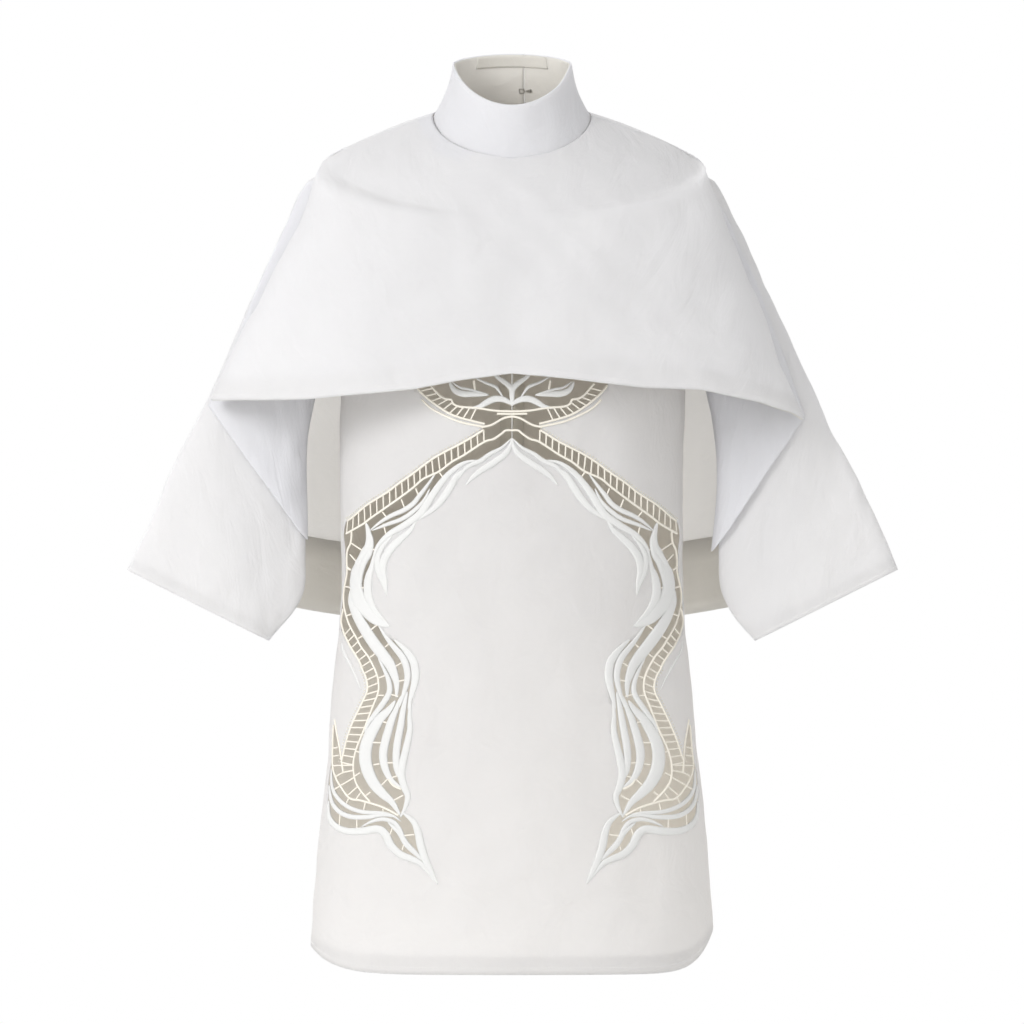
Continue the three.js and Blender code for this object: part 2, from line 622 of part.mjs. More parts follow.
const FLAP_FACETS = { left: [2, 12], right: [1, 12] }; // the facets of the sleeve between which the flap lies
const FLAP_TIP = { left: [301, -287, 202, -435], right: [304.5, -287, 207, -423] };
const FLAP_TIP_DEPTH = 18.5;
const FLAP_ROWS = 4; // rows of the sleeve that the flap follows before its own slanted edge
const ARMHOLE_GAP = 1.9;

function tubePoint(side, row, angle) {
  const [ox, oz, ix, iz, depth] = row;
  const c = (1 - Math.cos(angle)) / 2;
  return new THREE.Vector3(side * lerp(ox, ix, c), -depth * Math.sin(angle), lerp(oz, iz, c));
}

// The head of the sleeve follows the side of the body at a small distance, and pull runs out to 0.
function seatedAtArmhole(point, side, pull, gap) {
  const [half, , yFront] = BODY_ROWS[5];
  const sideX = half * Math.sqrt(1 - (point.y / yFront) ** 2) + gap;
  point.x = side * lerp(Math.abs(point.x), sideX, Math.max(0, pull));
  return point;
}

const sleeveRow = (v) => rowAt(SLEEVE_ROWS, v);

for (const [name, side] of [["left", 1], ["right", -1]]) {
  const sleeve = (u, v) => {
    const point = tubePoint(side, sleeveRow(v), u * 2 * Math.PI);
    return seatedAtArmhole(point, side, 1 - v * SLEEVE_NV, ARMHOLE_GAP);
  };
  addNode(`sleeve_${name}`, cloth(sleeve, { nu: AROUND, nv: SLEEVE_NV, side: -side, closed: true }), FABRIC);

  const facing = (u, v) => {
    const row = sleeveRow(1 - (SLEEVE_HEM_FACING * (1 - v)) / SLEEVE_NV);
    return tubePoint(side, row, u * 2 * Math.PI);
  };
  addNode(
    `sleeve_facing_${name}`,
    cloth(facing, { nu: AROUND, nv: 1, side: -side, closed: true, offset: -FACING_STEP, thickness: 1 }),
    FABRIC,
  );

  const rows = [...SLEEVE_ROWS.slice(0, FLAP_ROWS), [...FLAP_TIP[name], FLAP_TIP_DEPTH]];
  const [from, to] = FLAP_FACETS[name];
  const flap = (u, v) => {
    const point = tubePoint(side, rowAt(rows, v), lerp(from, to, u) * FACET);
    return seatedAtArmhole(point, side, 1 - v * FLAP_ROWS, ARMHOLE_GAP);
  };
  const layer = { nu: to - from, nv: FLAP_ROWS, side: -side, offset: FLAP_GAP + CLOTH };
  addNode(`over_flap_${name}`, cloth(flap, layer), FABRIC);
}

// Zip, laid out flat with x across, y out of the back and z up, then tilted onto the centre-back line.
const backTilt = Math.atan(BACK_SLOPE);
const zipTop = new THREE.Vector3(0, BACK_TOP.y + (BACK_TOP.z - ZIP_TOP_Z) * BACK_SLOPE, ZIP_TOP_Z);
const TAPE_OUT = -CLOTH - 1; // outer face of the tape, below the back panel's outer face

function onZipLine(solid) {
  const matrix = new THREE.Matrix4().makeRotationX(backTilt).setPosition(zipTop);
  return solid.transform(matrix.elements);
}

const zipEnd = -ZIP_LENGTH;
for (const [name, side] of [["left", 1], ["right", -1]]) {
  const tape = box([0.3, TAPE_OUT - TAPE_THICKNESS, zipEnd], [TAPE_WIDTH, TAPE_OUT, 0]);
  const teeth = box([0.3, TAPE_OUT - 0.1, zipEnd + 4], [0.3 + TEETH_WIDTH, TAPE_OUT + TEETH_HEIGHT, 0]);
  const half = tape.add(teeth);
  addNode(`zip_tape_${name}`, onZipLine(side > 0 ? half : half.mirror([1, 0, 0])), TAPE);
}

const grooveHalf = 0.3 + TEETH_WIDTH + SLIDER.clearance;
const grooveTop = TAPE_OUT + TEETH_HEIGHT + SLIDER.clearance;
const sliderLow = TAPE_OUT + SLIDER.clearance;
const sliderTop = grooveTop + SLIDER.wall;
const sliderBody = box([-SLIDER.width / 2, sliderLow, -SLIDER.length], [SLIDER.width / 2, sliderTop, 0])
  .subtract(box([-grooveHalf, sliderLow - 1, -SLIDER.length - 1], [grooveHalf, grooveTop, 1]));
const pivotY = sliderTop + PULL.rise;
const POST = { half: 1, low: -4.2, high: -2.2 };
const sliderPost = box([-POST.half, sliderTop - 0.2, POST.low], [POST.half, pivotY + 1.2, POST.high]);
addNode("zip_slider", onZipLine(sliderBody.add(sliderPost)), METAL);

const pullTop = POST.high + 1.8;
const pullPlate = box(
  [-PULL.width / 2, pivotY - PULL.thickness / 2, pullTop - PULL.length],
  [PULL.width / 2, pivotY + PULL.thickness / 2, pullTop],
).subtract(box([-POST.half - 0.4, pivotY - 2, POST.low - 0.9], [POST.half + 0.4, pivotY + 2, POST.high + 0.7]));
addNode("zip_pull", onZipLine(pullPlate), METAL);

const stop = box([-2.6, TAPE_OUT + 0.4, zipEnd], [2.6, TAPE_OUT + 2.4, zipEnd + 3.6]);
addNode("zip_bottom_stop", onZipLine(stop), METAL);

export default group;
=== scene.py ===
import math
import bpy
import numpy as np
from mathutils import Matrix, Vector
from mathutils.geometry import delaunay_2d_cdt


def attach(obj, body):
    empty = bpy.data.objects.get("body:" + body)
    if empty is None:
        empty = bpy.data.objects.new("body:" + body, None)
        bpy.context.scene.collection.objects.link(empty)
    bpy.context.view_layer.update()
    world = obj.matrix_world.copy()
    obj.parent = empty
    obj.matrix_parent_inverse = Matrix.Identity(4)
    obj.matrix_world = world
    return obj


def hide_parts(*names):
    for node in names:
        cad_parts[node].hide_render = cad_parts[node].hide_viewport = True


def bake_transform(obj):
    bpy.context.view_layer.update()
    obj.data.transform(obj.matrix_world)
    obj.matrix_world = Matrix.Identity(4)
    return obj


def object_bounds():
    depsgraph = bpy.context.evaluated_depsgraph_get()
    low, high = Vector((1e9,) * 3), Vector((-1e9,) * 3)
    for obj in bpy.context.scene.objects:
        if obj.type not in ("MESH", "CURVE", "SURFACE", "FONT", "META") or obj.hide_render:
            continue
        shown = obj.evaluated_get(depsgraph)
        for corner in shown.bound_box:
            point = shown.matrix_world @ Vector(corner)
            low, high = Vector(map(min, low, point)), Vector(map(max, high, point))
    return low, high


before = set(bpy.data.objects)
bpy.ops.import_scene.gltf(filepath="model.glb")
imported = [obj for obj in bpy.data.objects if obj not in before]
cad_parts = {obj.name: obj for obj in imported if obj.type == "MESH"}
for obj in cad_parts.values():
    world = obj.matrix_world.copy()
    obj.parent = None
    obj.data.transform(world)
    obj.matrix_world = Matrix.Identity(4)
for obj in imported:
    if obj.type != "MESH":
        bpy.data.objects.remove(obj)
cad_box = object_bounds()

# Studio. The dress hangs in front of a white wall of light, with one large soft lamp high on the
# left, a weaker one on the right, and a pale floor well below the hem.

MM = 0.001
CAMERA_DISTANCE = 14.0
VIEW_WIDTH = 1.024
FLOOR_Z = -1.6
SENSOR = 36.0


def linear(hex_colour):
    channels = [int(hex_colour[i:i + 2], 16) / 255 for i in (1, 3, 5)]
    return [c / 12.92 if c <= 0.04045 else ((c + 0.055) / 1.055) ** 2.4 for c in channels] + [1.0]


def add(tree, kind, inputs=None, **settings):
    """Adds a node. An input is given a value, or another node's output socket to link from."""
    node = tree.nodes.new(kind)
    for name, value in settings.items():
        setattr(node, name, value)
    for key, value in (inputs or {}).items():
        if isinstance(value, bpy.types.NodeSocket):
            tree.links.new(value, node.inputs[key])
        else:
            node.inputs[key].default_value = value
    return node


def soft_lamp(name, place, aim, size, watts):
    lamp = bpy.data.lights.new(name, "AREA")
    lamp.shape = "DISK"
    lamp.size = size
    lamp.energy = watts
    holder = bpy.data.objects.new(name, lamp)
    holder.location = place
    holder.rotation_euler = (Vector(aim) - Vector(place)).to_track_quat("-Z", "Y").to_euler()
    bpy.context.scene.collection.objects.link(holder)


scene = bpy.context.scene
scene.view_settings.view_transform = "Standard"
middle = (Vector(cad_box[0]) + Vector(cad_box[1])) / 2

world = bpy.data.worlds.new("studio")
scene.world = world
world.use_nodes = True
world.node_tree.nodes.clear()
around = add(world.node_tree, "ShaderNodeBackground", {"Color": linear("#FBFBFA"), "Strength": 0.88})
behind = add(world.node_tree, "ShaderNodeBackground", {"Color": (1, 1, 1, 1), "Strength": 1.0})
seen = add(world.node_tree, "ShaderNodeLightPath")
both = add(
    world.node_tree,
    "ShaderNodeMixShader",
    {0: seen.outputs["Is Camera Ray"], 1: around.outputs[0], 2: behind.outputs[0]},
)
add(world.node_tree, "ShaderNodeOutputWorld", {"Surface": both.outputs[0]})

soft_lamp("key", (-2.8, -2.8, 1.5), (0, 0, -0.15), 1.9, 101)
soft_lamp("fill", (0.9, -3.4, -0.2), (0, 0, -0.25), 1.6, 12)
soft_lamp("back", (-0.3, 3.4, 1.6), (0, 0, -0.2), 2.6, 100)

camera_data = bpy.data.cameras.new("camera")
camera_data.sensor_width = SENSOR
camera_data.lens = SENSOR * CAMERA_DISTANCE / VIEW_WIDTH
camera = bpy.data.objects.new("camera", camera_data)
camera.location = (middle.x, -CAMERA_DISTANCE, middle.z)
camera.rotation_euler = (math.pi / 2, 0, 0)
scene.collection.objects.link(camera)
scene.camera = camera

floor_mesh = bpy.data.meshes.new("floor")
FLOOR_CORNERS = ((-4, -4), (4, -4), (4, 4), (-4, 4))
floor_mesh.from_pydata([(x, y, FLOOR_Z) for x, y in FLOOR_CORNERS], [], [(0, 1, 2, 3)])
floor = bpy.data.objects.new("floor", floor_mesh)
scene.collection.objects.link(floor)
floor_paint = bpy.data.materials.new("floor_paint")
floor_paint.use_nodes = True
floor_paint.node_tree.nodes["Principled BSDF"].inputs["Base Color"].default_value = linear("#EDEDEC")
floor_paint.node_tree.nodes["Principled BSDF"].inputs["Roughness"].default_value = 0.9
floor_mesh.materials.append(floor_paint)


# Front panel: one piece of crisp cotton poplin from the neck seam to the curved hem, with the
# openwork cut out of it. The hem is turned up 20 mm inside and stitched 7 mm above the fold.

CLOTH = 1.0
LIGHT_THROUGH = 0.5
THREAD_SPACING = 0.6  # poplin has a thread every 0.25 mm; it is drawn coarser so that it shows
BODY_ROWS = [  # half width, height at the sides, depth and height in front, height behind
    [79, -1, -70, -42, 12], [118, -16, -80, -60, 2], [148, -28, -88, -78, -18],
    [168, -41, -94, -95, -45], [174, -60, -99, -115, -75], [174, -100, -104, -145, -115],
    [173, -170, -107, -195, -180], [172, -240, -107, -250, -245], [172, -310, -105, -310, -310],
    [172, -400, -102, -400, -400], [173, -505, -100, -505, -505], [182.5, -600, -103, -600, -600],
    [191, -700, -107, -700, -700], [199.5, -785, -110, -785, -785],
]
LAST_ROW = len(BODY_ROWS) - 1
HEM_Z = -855
HEM_RISE = 42
HEM_HALF = 203.5
HEM_FRONT_Y = -112
BACK_TOP_Y, BACK_TOP_Z, BACK_SLOPE = 56, 12, 0.0926
BACK_LINE_END_Z, BACK_HEM_Y = -420, 114
SIDE_SEAM = math.radians(0.3)
ARMHOLE_Z, ARMHOLE_HALF_HEIGHT, ARMHOLE_HALF_DEPTH = -139, 86, 37
OPENING_EDGE = [  # half of the cut-out, from the middle of its top round to the middle below the waist
    (0, -238), (-50, -241), (-88, -256), (-96, -268), (-91, -275.5), (-83, -283), (-74, -290), (-63, -297),
    (-52, -301.5), (-41, -304.5), (-27, -310), (-47.5, -326), (-69, -337), (-81.5, -344.5), (-99.5, -358),
    (-113, -367.5), (-124.5, -376.5), (-142.5, -388), (-157.5, -399.5), (-166, -405), (-169, -417),
    (-168, -430), (-168, -445), (-168, -456), (-170, -470), (-171, -480), (-172, -498), (-172, -512),
    (-168, -521), (-162, -529.5), (-157, -537), (-152, -545), (-149, -552), (-145.5, -558.5), (-143, -567),
    (-143.5, -575), (-148.5, -586), (-157, -604), (-164.5, -623.5), (-171, -643), (-174, -628), (-177, -607),
    (-180.5, -627), (-183, -645), (-185, -665), (-185, -685), (-184, -700), (-177.5, -708), (-165.5, -713),
    (-148.5, -713), (-133, -711), (-125.5, -716), (-120.5, -726.5), (-112, -735), (-100, -740), (-91, -744),
    (-86.5, -739), (-90, -726), (-93, -714), (-98, -703.5), (-107, -696), (-105.5, -689), (-103.5, -678),
    (-106.5, -669.5), (-109.5, -657), (-107.5, -643), (-104, -628), (-101, -611), (-101.5, -597),
    (-99, -578), (-97, -566), (-96, -557), (-97.5, -546), (-102, -538), (-109, -530.5), (-116, -524.5),
    (-125, -520), (-133, -509), (-132, -500), (-139, -491), (-143, -482), (-144.5, -474), (-143.5, -466),
    (-141.5, -457.5), (-139, -450), (-137, -440), (-133, -430), (-122, -418), (-107, -409), (-93, -399),
    (-86, -390), (-80, -380), (-72, -368.5), (-62, -357), (-48, -347.5), (-31, -344.5), (-22, -338),
    (-10, -331.5), (0, -325),
]


def rows_at(rows, v):
    """Rows of numbers read on a smooth curve between rows, for v from 0 to 1."""
    table = np.array(rows, float)
    place = np.clip(v, 0, 1) * (len(table) - 1)
    i = np.minimum(place.astype(int), len(table) - 2)
    t = (place - i)[:, None]
    a, b, c, d = (table[np.clip(i + k, 0, len(table) - 1)] for k in (-1, 0, 1, 2))
    return b + 0.5 * t * (c - a + t * (2 * a - 5 * b + 4 * c - d + t * (3 * (b - c) + d - a)))


def back_depth(z):
    straight = BACK_TOP_Y + (BACK_TOP_Z - z) * BACK_SLOPE
    at_end = BACK_TOP_Y + (BACK_TOP_Z - BACK_LINE_END_Z) * BACK_SLOPE
    low = at_end + (BACK_HEM_Y - at_end) * (BACK_LINE_END_Z - z) / (BACK_LINE_END_Z - HEM_Z)
    return np.where(z >= BACK_LINE_END_Z, straight, low)


def body_point(theta, row):
    """theta is 0 at the centre front and half a turn behind; row counts the body's rows downwards."""
    upper = rows_at(BODY_ROWS, np.minimum(row, LAST_ROW) / LAST_ROW)
    last = BODY_ROWS[-1]
    out = np.abs(np.sin(theta))
    hem = HEM_Z + HEM_RISE * np.where(np.sin(theta) > 0, out**12, 0.62 * out**8)
    below = row > LAST_ROW
    low_z = last[1] + (hem - last[1]) * (row - LAST_ROW)
    share = (low_z - last[1]) / (HEM_Z - last[1])
    half = np.where(below, last[0] + (HEM_HALF - last[0]) * share, upper[:, 0])
    front_y = np.where(below, last[2] + (HEM_FRONT_Y - last[2]) * share, upper[:, 2])
    side_z = np.where(below, low_z, upper[:, 1])
    front_z = np.where(below, low_z, upper[:, 3])
    back_z = np.where(below, low_z, upper[:, 4])
    c = np.cos(theta)
    z = side_z + (np.where(c >= 0, front_z, back_z) - side_z) * np.abs(c)
    y = np.where(c >= 0, front_y, back_depth(back_z)) * np.abs(c)
    return np.stack([half * np.sin(theta), y, z], 1)


def front_place(x, z):
    """The angle and row at which the front panel has this x and z."""
    low, high = np.zeros(len(x)), np.full(len(x), LAST_ROW + 1.0)
    for _ in range(26):
        row = (low + high) / 2
        half = np.where(
            row > LAST_ROW,
            BODY_ROWS[-1][0] + (HEM_HALF - BODY_ROWS[-1][0]) * (row - LAST_ROW),
            rows_at(BODY_ROWS, np.minimum(row, LAST_ROW) / LAST_ROW)[:, 0],
        )
        theta = np.arcsin(np.clip(x / half, -0.9995, 0.9995))
        above = body_point(theta, row)[:, 2] > z
        low, high = np.where(above, row, low), np.where(above, high, row)
    return theta, row


def rumple(flat, height, length, seed):
    """Soft irregular waves over a cloth's flat places, all in mm."""
    draw = np.random.default_rng(seed)
    total = np.zeros(len(flat))
    for _ in range(9):
        turn, wave = draw.uniform(0, math.tau), length * draw.uniform(0.7, 1.7)
        along = flat @ np.array([math.cos(turn), math.sin(turn)])
        total += np.sin(along * math.tau / wave + draw.uniform(0, math.tau))
    return height * total / 3


def body_cloth(theta, row, height=0.0):
    """The body's outer face with its soft waves and hem puckers, raised by a height in mm."""
    step = 0.01
    point = body_point(theta, row)
    along = body_point(theta + step, row) - body_point(theta - step, row)
    below, above = np.minimum(row + step, LAST_ROW + 1), np.maximum(row - step, 0)
    down = body_point(theta, below) - body_point(theta, above)
    normal = np.cross(down, along)
    normal /= np.linalg.norm(normal, axis=1)[:, None]
    place = point[:, [0, 2]]
    pucker = np.exp(-(((row - 13.88) / 0.12) ** 2)) * np.sin(theta * HEM_HALF * math.tau / 12)
    wave = rumple(place, 1.4, 140, 3) + rumple(place, 0.45, 42, 4) + 0.4 * pucker
    return point + normal * (height + wave)[:, None]


def on_front(x, z, height=0.0):
    """Points of the front panel's outer face, raised by a height, with x and z given in mm."""
    return body_cloth(*front_place(np.asarray(x, float), np.asarray(z, float)), height)


def ruffled(surface, side, waves):
    """The same surface with waves along its outward normal; side turns that normal round."""
    step = 2e-3

    def result(u, v):
        point = surface(u, v)
        along = surface(np.minimum(u + step, 1), v) - surface(np.maximum(u - step, 0), v)
        down = surface(u, np.minimum(v + step, 1)) - surface(u, np.maximum(v - step, 0))
        normal = np.cross(down, along)
        normal *= side / np.maximum(np.linalg.norm(normal, axis=1), 1e-9)[:, None]
        return point + normal * waves(point)[:, None]

    return result


def face_normals(points, faces):
    corners = points[faces]
    return np.cross(corners[:, 2] - corners[:, 0], corners[:, -1] - corners[:, 1])


def point_normals(points, faces):
    """faces is an array of triangles or of quads."""
    if faces.shape[1] == 3:
        corners = points[faces]
        across = np.cross(corners[:, 1] - corners[:, 0], corners[:, 2] - corners[:, 0])
    else:
        across = face_normals(points, faces)
    normals = np.zeros_like(points)
    for k in range(faces.shape[1]):
        np.add.at(normals, faces[:, k], across)
    return normals / np.maximum(np.linalg.norm(normals, axis=1), 1e-12)[:, None]


def make_piece(name, points, faces, flat, finish):
    """A mesh from points in mm, with flat places in mm as its UV map in metres."""
    mesh = bpy.data.meshes.new(name)
    mesh.from_pydata((np.asarray(points) * MM).tolist(), [], [tuple(f) for f in faces])
    if flat is not None:
        corners = np.empty(len(mesh.loops), np.int32)
        mesh.loops.foreach_get("vertex_index", corners)
        layer = mesh.uv_layers.new(name="cut")
        layer.data.foreach_set("uv", (np.asarray(flat)[corners] * MM).astype(np.float32).ravel())
    mesh.polygons.foreach_set("use_smooth", [True] * len(mesh.polygons))
    mesh.materials.append(finish)
    mesh.validate()
    piece = bpy.data.objects.new(name, mesh)
    scene.collection.objects.link(piece)
    return piece


def thick_cloth(name, points, faces, flat, finish, shift=0.0, thickness=CLOTH, behind=None, inside=None):
    """A closed layer of cloth. shift moves its outer face away from the wearer; behind finishes its back."""
    away = points - (points * [0, 0, 1] if inside is None else inside)
    normals = point_normals(points, faces)
    if np.sum(normals * away) < 0:
        faces = faces[:, ::-1]
        normals = -normals
    count = len(points)
    outer = points + normals * shift
    inner = points + normals * (shift - thickness)
    ahead = {(int(f[k]), int(f[(k + 1) % len(f)])) for f in faces for k in range(len(f))}
    rim = [(b, a, a + count, b + count) for a, b in sorted(ahead) if (b, a) not in ahead]
    shell = [tuple(f) for f in faces.tolist()] + [tuple(f) for f in (faces[:, ::-1] + count).tolist()] + rim
    piece = make_piece(name, np.vstack([outer, inner]), shell, np.vstack([flat, flat]), finish)
    if behind is not None:
        piece.data.materials.append(behind)
        is_inner = np.zeros(len(shell), int)
        is_inner[len(faces):2 * len(faces)] = 1
        piece.data.polygons.foreach_set("material_index", is_inner)
    return piece


def grid(surface, nu, nv):
    """Points, quads and flat places of a surface given for u and v from 0 to 1."""
    u, v = (a.ravel() for a in np.meshgrid(np.linspace(0, 1, nu + 1), np.linspace(0, 1, nv + 1)))
    points = surface(u, v)
    net = points.reshape(nv + 1, nu + 1, 3)
    widths = np.zeros((nv + 1, nu + 1))
    widths[:, 1:] = np.cumsum(np.linalg.norm(np.diff(net, axis=1), axis=2), axis=1)
    widths -= widths[:, -1:] / 2
    lengths = np.zeros((nv + 1, nu + 1))
    lengths[1:] = np.cumsum(np.linalg.norm(np.diff(net, axis=0), axis=2), axis=0)
    corner = (np.arange(nv)[:, None] * (nu + 1) + np.arange(nu)[None, :]).ravel()
    faces = np.stack([corner, corner + 1, corner + nu + 2, corner + nu + 1], 1)
    return points, faces, np.stack([widths.ravel(), -lengths.ravel()], 1)


def ridges(tree, across, spacing):
    """A wave that repeats every so many mm along a coordinate given in metres."""
    turns = add(tree, "ShaderNodeMath", {0: across, 1: math.tau / (spacing * MM)}, operation="MULTIPLY")
    return add(tree, "ShaderNodeMath", {0: turns.outputs[0]}, operation="SINE").outputs[0]


def thin_cloth(tree, surface, normal, colour):
    """Lets part of the light through to the other side, as thin cotton does."""
    through = add(tree, "ShaderNodeBsdfTranslucent", {"Color": linear(colour), "Normal": normal})
    both = add(tree, "ShaderNodeMixShader", {0: LIGHT_THROUGH, 1: surface, 2: through.outputs[0]})
    add(tree, "ShaderNodeOutputMaterial", {"Surface": both.outputs[0]})


def woven_cotton(name, light, shade, roughness=0.86):
    """Crisp cotton poplin: a matt, slightly uneven white cloth whose fine weave softens its light."""
    material = bpy.data.materials.new(name)
    material.use_nodes = True
    tree = material.node_tree
    tree.nodes.clear()
    cut = add(tree, "ShaderNodeTexCoord").outputs["UV"]
    split = add(tree, "ShaderNodeSeparateXYZ", {"Vector": cut})
    threads = add(
        tree,
        "ShaderNodeMath",
        {
            0: ridges(tree, split.outputs["X"], THREAD_SPACING),
            1: ridges(tree, split.outputs["Y"], THREAD_SPACING),
        },
        operation="MULTIPLY",
    )
    slubs = add(tree, "ShaderNodeTexNoise", {"Vector": cut, "Scale": 380.0, "Detail": 2.0})
    crease_look = {"Vector": cut, "Scale": 26.0, "Detail": 3.0, "Distortion": 0.6}
    creases = add(tree, "ShaderNodeTexNoise", crease_look)
    drift = add(tree, "ShaderNodeTexNoise", {"Vector": cut, "Scale": 9.0, "Detail": 2.0})
    tone = add(tree, "ShaderNodeMix", {"Factor": drift.outputs["Fac"]}, data_type="RGBA")
    tone.inputs[6].default_value = linear(light)
    tone.inputs[7].default_value = linear(shade)
    weave = add(tree, "ShaderNodeBump", {"Strength": 0.25, "Distance": 0.0001, "Height": threads.outputs[0]})
    uneven = add(
        tree,
        "ShaderNodeBump",
        {"Strength": 0.2, "Distance": 0.0003, "Height": slubs.outputs["Fac"], "Normal": weave.outputs[0]},
    )
    crumple = add(
        tree,
        "ShaderNodeBump",
        {"Strength": 0.55, "Distance": 0.004, "Height": creases.outputs["Fac"], "Normal": uneven.outputs[0]},
    )
    surface = add(
        tree,
        "ShaderNodeBsdfPrincipled",
        {
            "Base Color": tone.outputs[2],
            "Roughness": roughness,
            "Specular IOR Level": 0.25,
            "Sheen Weight": 0.12,
            "Sheen Roughness": 0.5,
            "Normal": crumple.outputs[0],
        },
    )
    thin_cloth(tree, surface.outputs[0], crumple.outputs[0], shade)
    return material


poplin = woven_cotton("white_poplin", "#F4F4F6", "#EFEFF2")
poplin_wrong_side = woven_cotton("poplin_wrong_side", "#F5F3EF", "#F1EFEA")
# The inside face of the body panels is painted a darker, warmer beige than the cloth: painted shade for the
# dim inside of the dress seen through the openwork.
panel_inside_painted_shade = woven_cotton("panel_inside_painted_shade", "#EBE6DD", "#E5E0D6")


def sewing_tree():
    """Lays stitches, beads or teeth one behind another along paths."""
    tree = bpy.data.node_groups.new("row_of_stitches", "GeometryNodeTree")
    for name, kind in (
        ("Path", "NodeSocketGeometry"),
        ("Spacing", "NodeSocketFloat"),
        ("Half length", "NodeSocketFloat"),
        ("Radius", "NodeSocketFloat"),
        ("Thread", "NodeSocketMaterial"),
    ):
        tree.interface.new_socket(name=name, in_out="INPUT", socket_type=kind)
    tree.interface.new_socket(name="Stitches", in_out="OUTPUT", socket_type="NodeSocketGeometry")
    start = add(tree, "NodeGroupInput")
    line = add(tree, "GeometryNodeMeshToCurve", {"Mesh": start.outputs["Path"]})
    even = add(
        tree,
        "GeometryNodeResampleCurve",
        {"Curve": line.outputs[0], "Length": start.outputs["Spacing"]},
        mode="LENGTH",
    )
    tangent = add(tree, "GeometryNodeInputTangent")
    turn = add(tree, "FunctionNodeAlignRotationToVector", {"Vector": tangent.outputs[0]}, axis="Z")
    bead = add(tree, "GeometryNodeMeshUVSphere", {"Segments": 6, "Rings": 4, "Radius": 1.0})
    size = add(
        tree,
        "ShaderNodeCombineXYZ",
        {"X": start.outputs["Radius"], "Y": start.outputs["Radius"], "Z": start.outputs["Half length"]},
    )
    placed = add(
        tree,
        "GeometryNodeInstanceOnPoints",
        {
            "Points": even.outputs[0],
            "Instance": bead.outputs["Mesh"],
            "Rotation": turn.outputs[0],
            "Scale": size.outputs[0],
        },
    )
    real = add(tree, "GeometryNodeRealizeInstances", {"Geometry": placed.outputs[0]})
    finished = add(
        tree, "GeometryNodeSetMaterial", {"Geometry": real.outputs[0], "Material": start.outputs["Thread"]}
    )
    add(tree, "NodeGroupOutput", {"Stitches": finished.outputs[0]})
    return tree


def grow(name, paths, tree, **values):
    """Runs a tree on paths, each a list of points in mm, and gives the result as a plain mesh."""
    points, edges = [], []
    for path in paths:
        edges += [(len(points) + k, len(points) + k + 1) for k in range(len(path) - 1)]
        points += [tuple(np.asarray(p) * MM) for p in path]
    mesh = bpy.data.meshes.new(name + "_path")
    mesh.from_pydata(points, edges, [])
    holder = bpy.data.objects.new(name + "_path", mesh)
    scene.collection.objects.link(holder)
    modifier = holder.modifiers.new("grow", "NODES")
    modifier.node_group = tree
    for socket in tree.interface.items_tree:
        if socket.in_out == "INPUT" and socket.name in values:
            modifier[socket.identifier] = values[socket.name]
    bpy.context.view_layer.update()
    found = holder.evaluated_get(bpy.context.evaluated_depsgraph_get())
    made = bpy.data.meshes.new_from_object(found)
    made.name = name
    made.polygons.foreach_set("use_smooth", [True] * len(made.polygons))
    piece = bpy.data.objects.new(name, made)
    scene.collection.objects.link(piece)
    bpy.data.objects.remove(holder)
    return piece


def thread_finish(name, colour, spacing, roughness):
    """Mercerised cotton thread: ivory, with a soft lustre, and fine ridges where strands lie side by side."""
    material = bpy.data.materials.new(name)
    material.use_nodes = True
    tree = material.node_tree
    tree.nodes.clear()
    cut = add(tree, "ShaderNodeTexCoord")
    split = add(tree, "ShaderNodeSeparateXYZ", {"Vector": cut.outputs["UV"]})
    slant = add(tree, "ShaderNodeMath", {0: split.outputs["X"], 1: 0.4}, operation="MULTIPLY")
    along = add(tree, "ShaderNodeMath", {0: split.outputs["Y"], 1: slant.outputs[0]}, operation="ADD")
    strand = ridges(tree, along.outputs[0], spacing)
    fluff = add(tree, "ShaderNodeTexNoise", {"Vector": cut.outputs["Object"], "Scale": 900.0, "Detail": 2.0})
    raised = add(tree, "ShaderNodeBump", {"Strength": 0.5, "Distance": 0.00025, "Height": strand})
    rough = add(
        tree,
        "ShaderNodeBump",
        {"Strength": 0.2, "Distance": 0.0002, "Height": fluff.outputs["Fac"], "Normal": raised.outputs[0]},
    )
    surface = add(
        tree,
        "ShaderNodeBsdfPrincipled",
        {
            "Base Color": linear(colour),
            "Roughness": roughness,
            "Specular IOR Level": 0.4,
            "Sheen Weight": 0.15,
            "Normal": rough.outputs[0],
        },
    )
    add(tree, "ShaderNodeOutputMaterial", {"Surface": surface.outputs[0]})
    return material


sewing_thread = thread_finish("sewing_thread", "#F1F1F2", 0.8, 0.6)
row_of_stitches = sewing_tree()
STITCH = {"Spacing": 3.1 * MM, "Half length": 1.2 * MM, "Radius": 0.28 * MM, "Thread": sewing_thread}


def inside_outline(x, z, outline):
    """Which of the points lie inside a closed outline."""
    ring = np.array(outline, float)
    result = np.zeros(len(x), bool)
    for (ax, az), (bx, bz) in zip(ring, np.roll(ring, -1, axis=0)):
        crossing = ((az > z) != (bz > z)) & (x < (bx - ax) * (z - az) / (bz - az + 1e-12) + ax)
        result ^= crossing
    return result


def smooth_line(points, step=3.0):
    """Points on a smooth curve through the given ones, about a step apart."""
    points = np.array(points, float)
    length = np.linalg.norm(np.diff(points, axis=0), axis=1).sum()
    return rows_at(points, np.linspace(0, 1, max(3, int(length / step))))


def mirrored(points):
    return [(-x, z) for x, z in points][::-1]


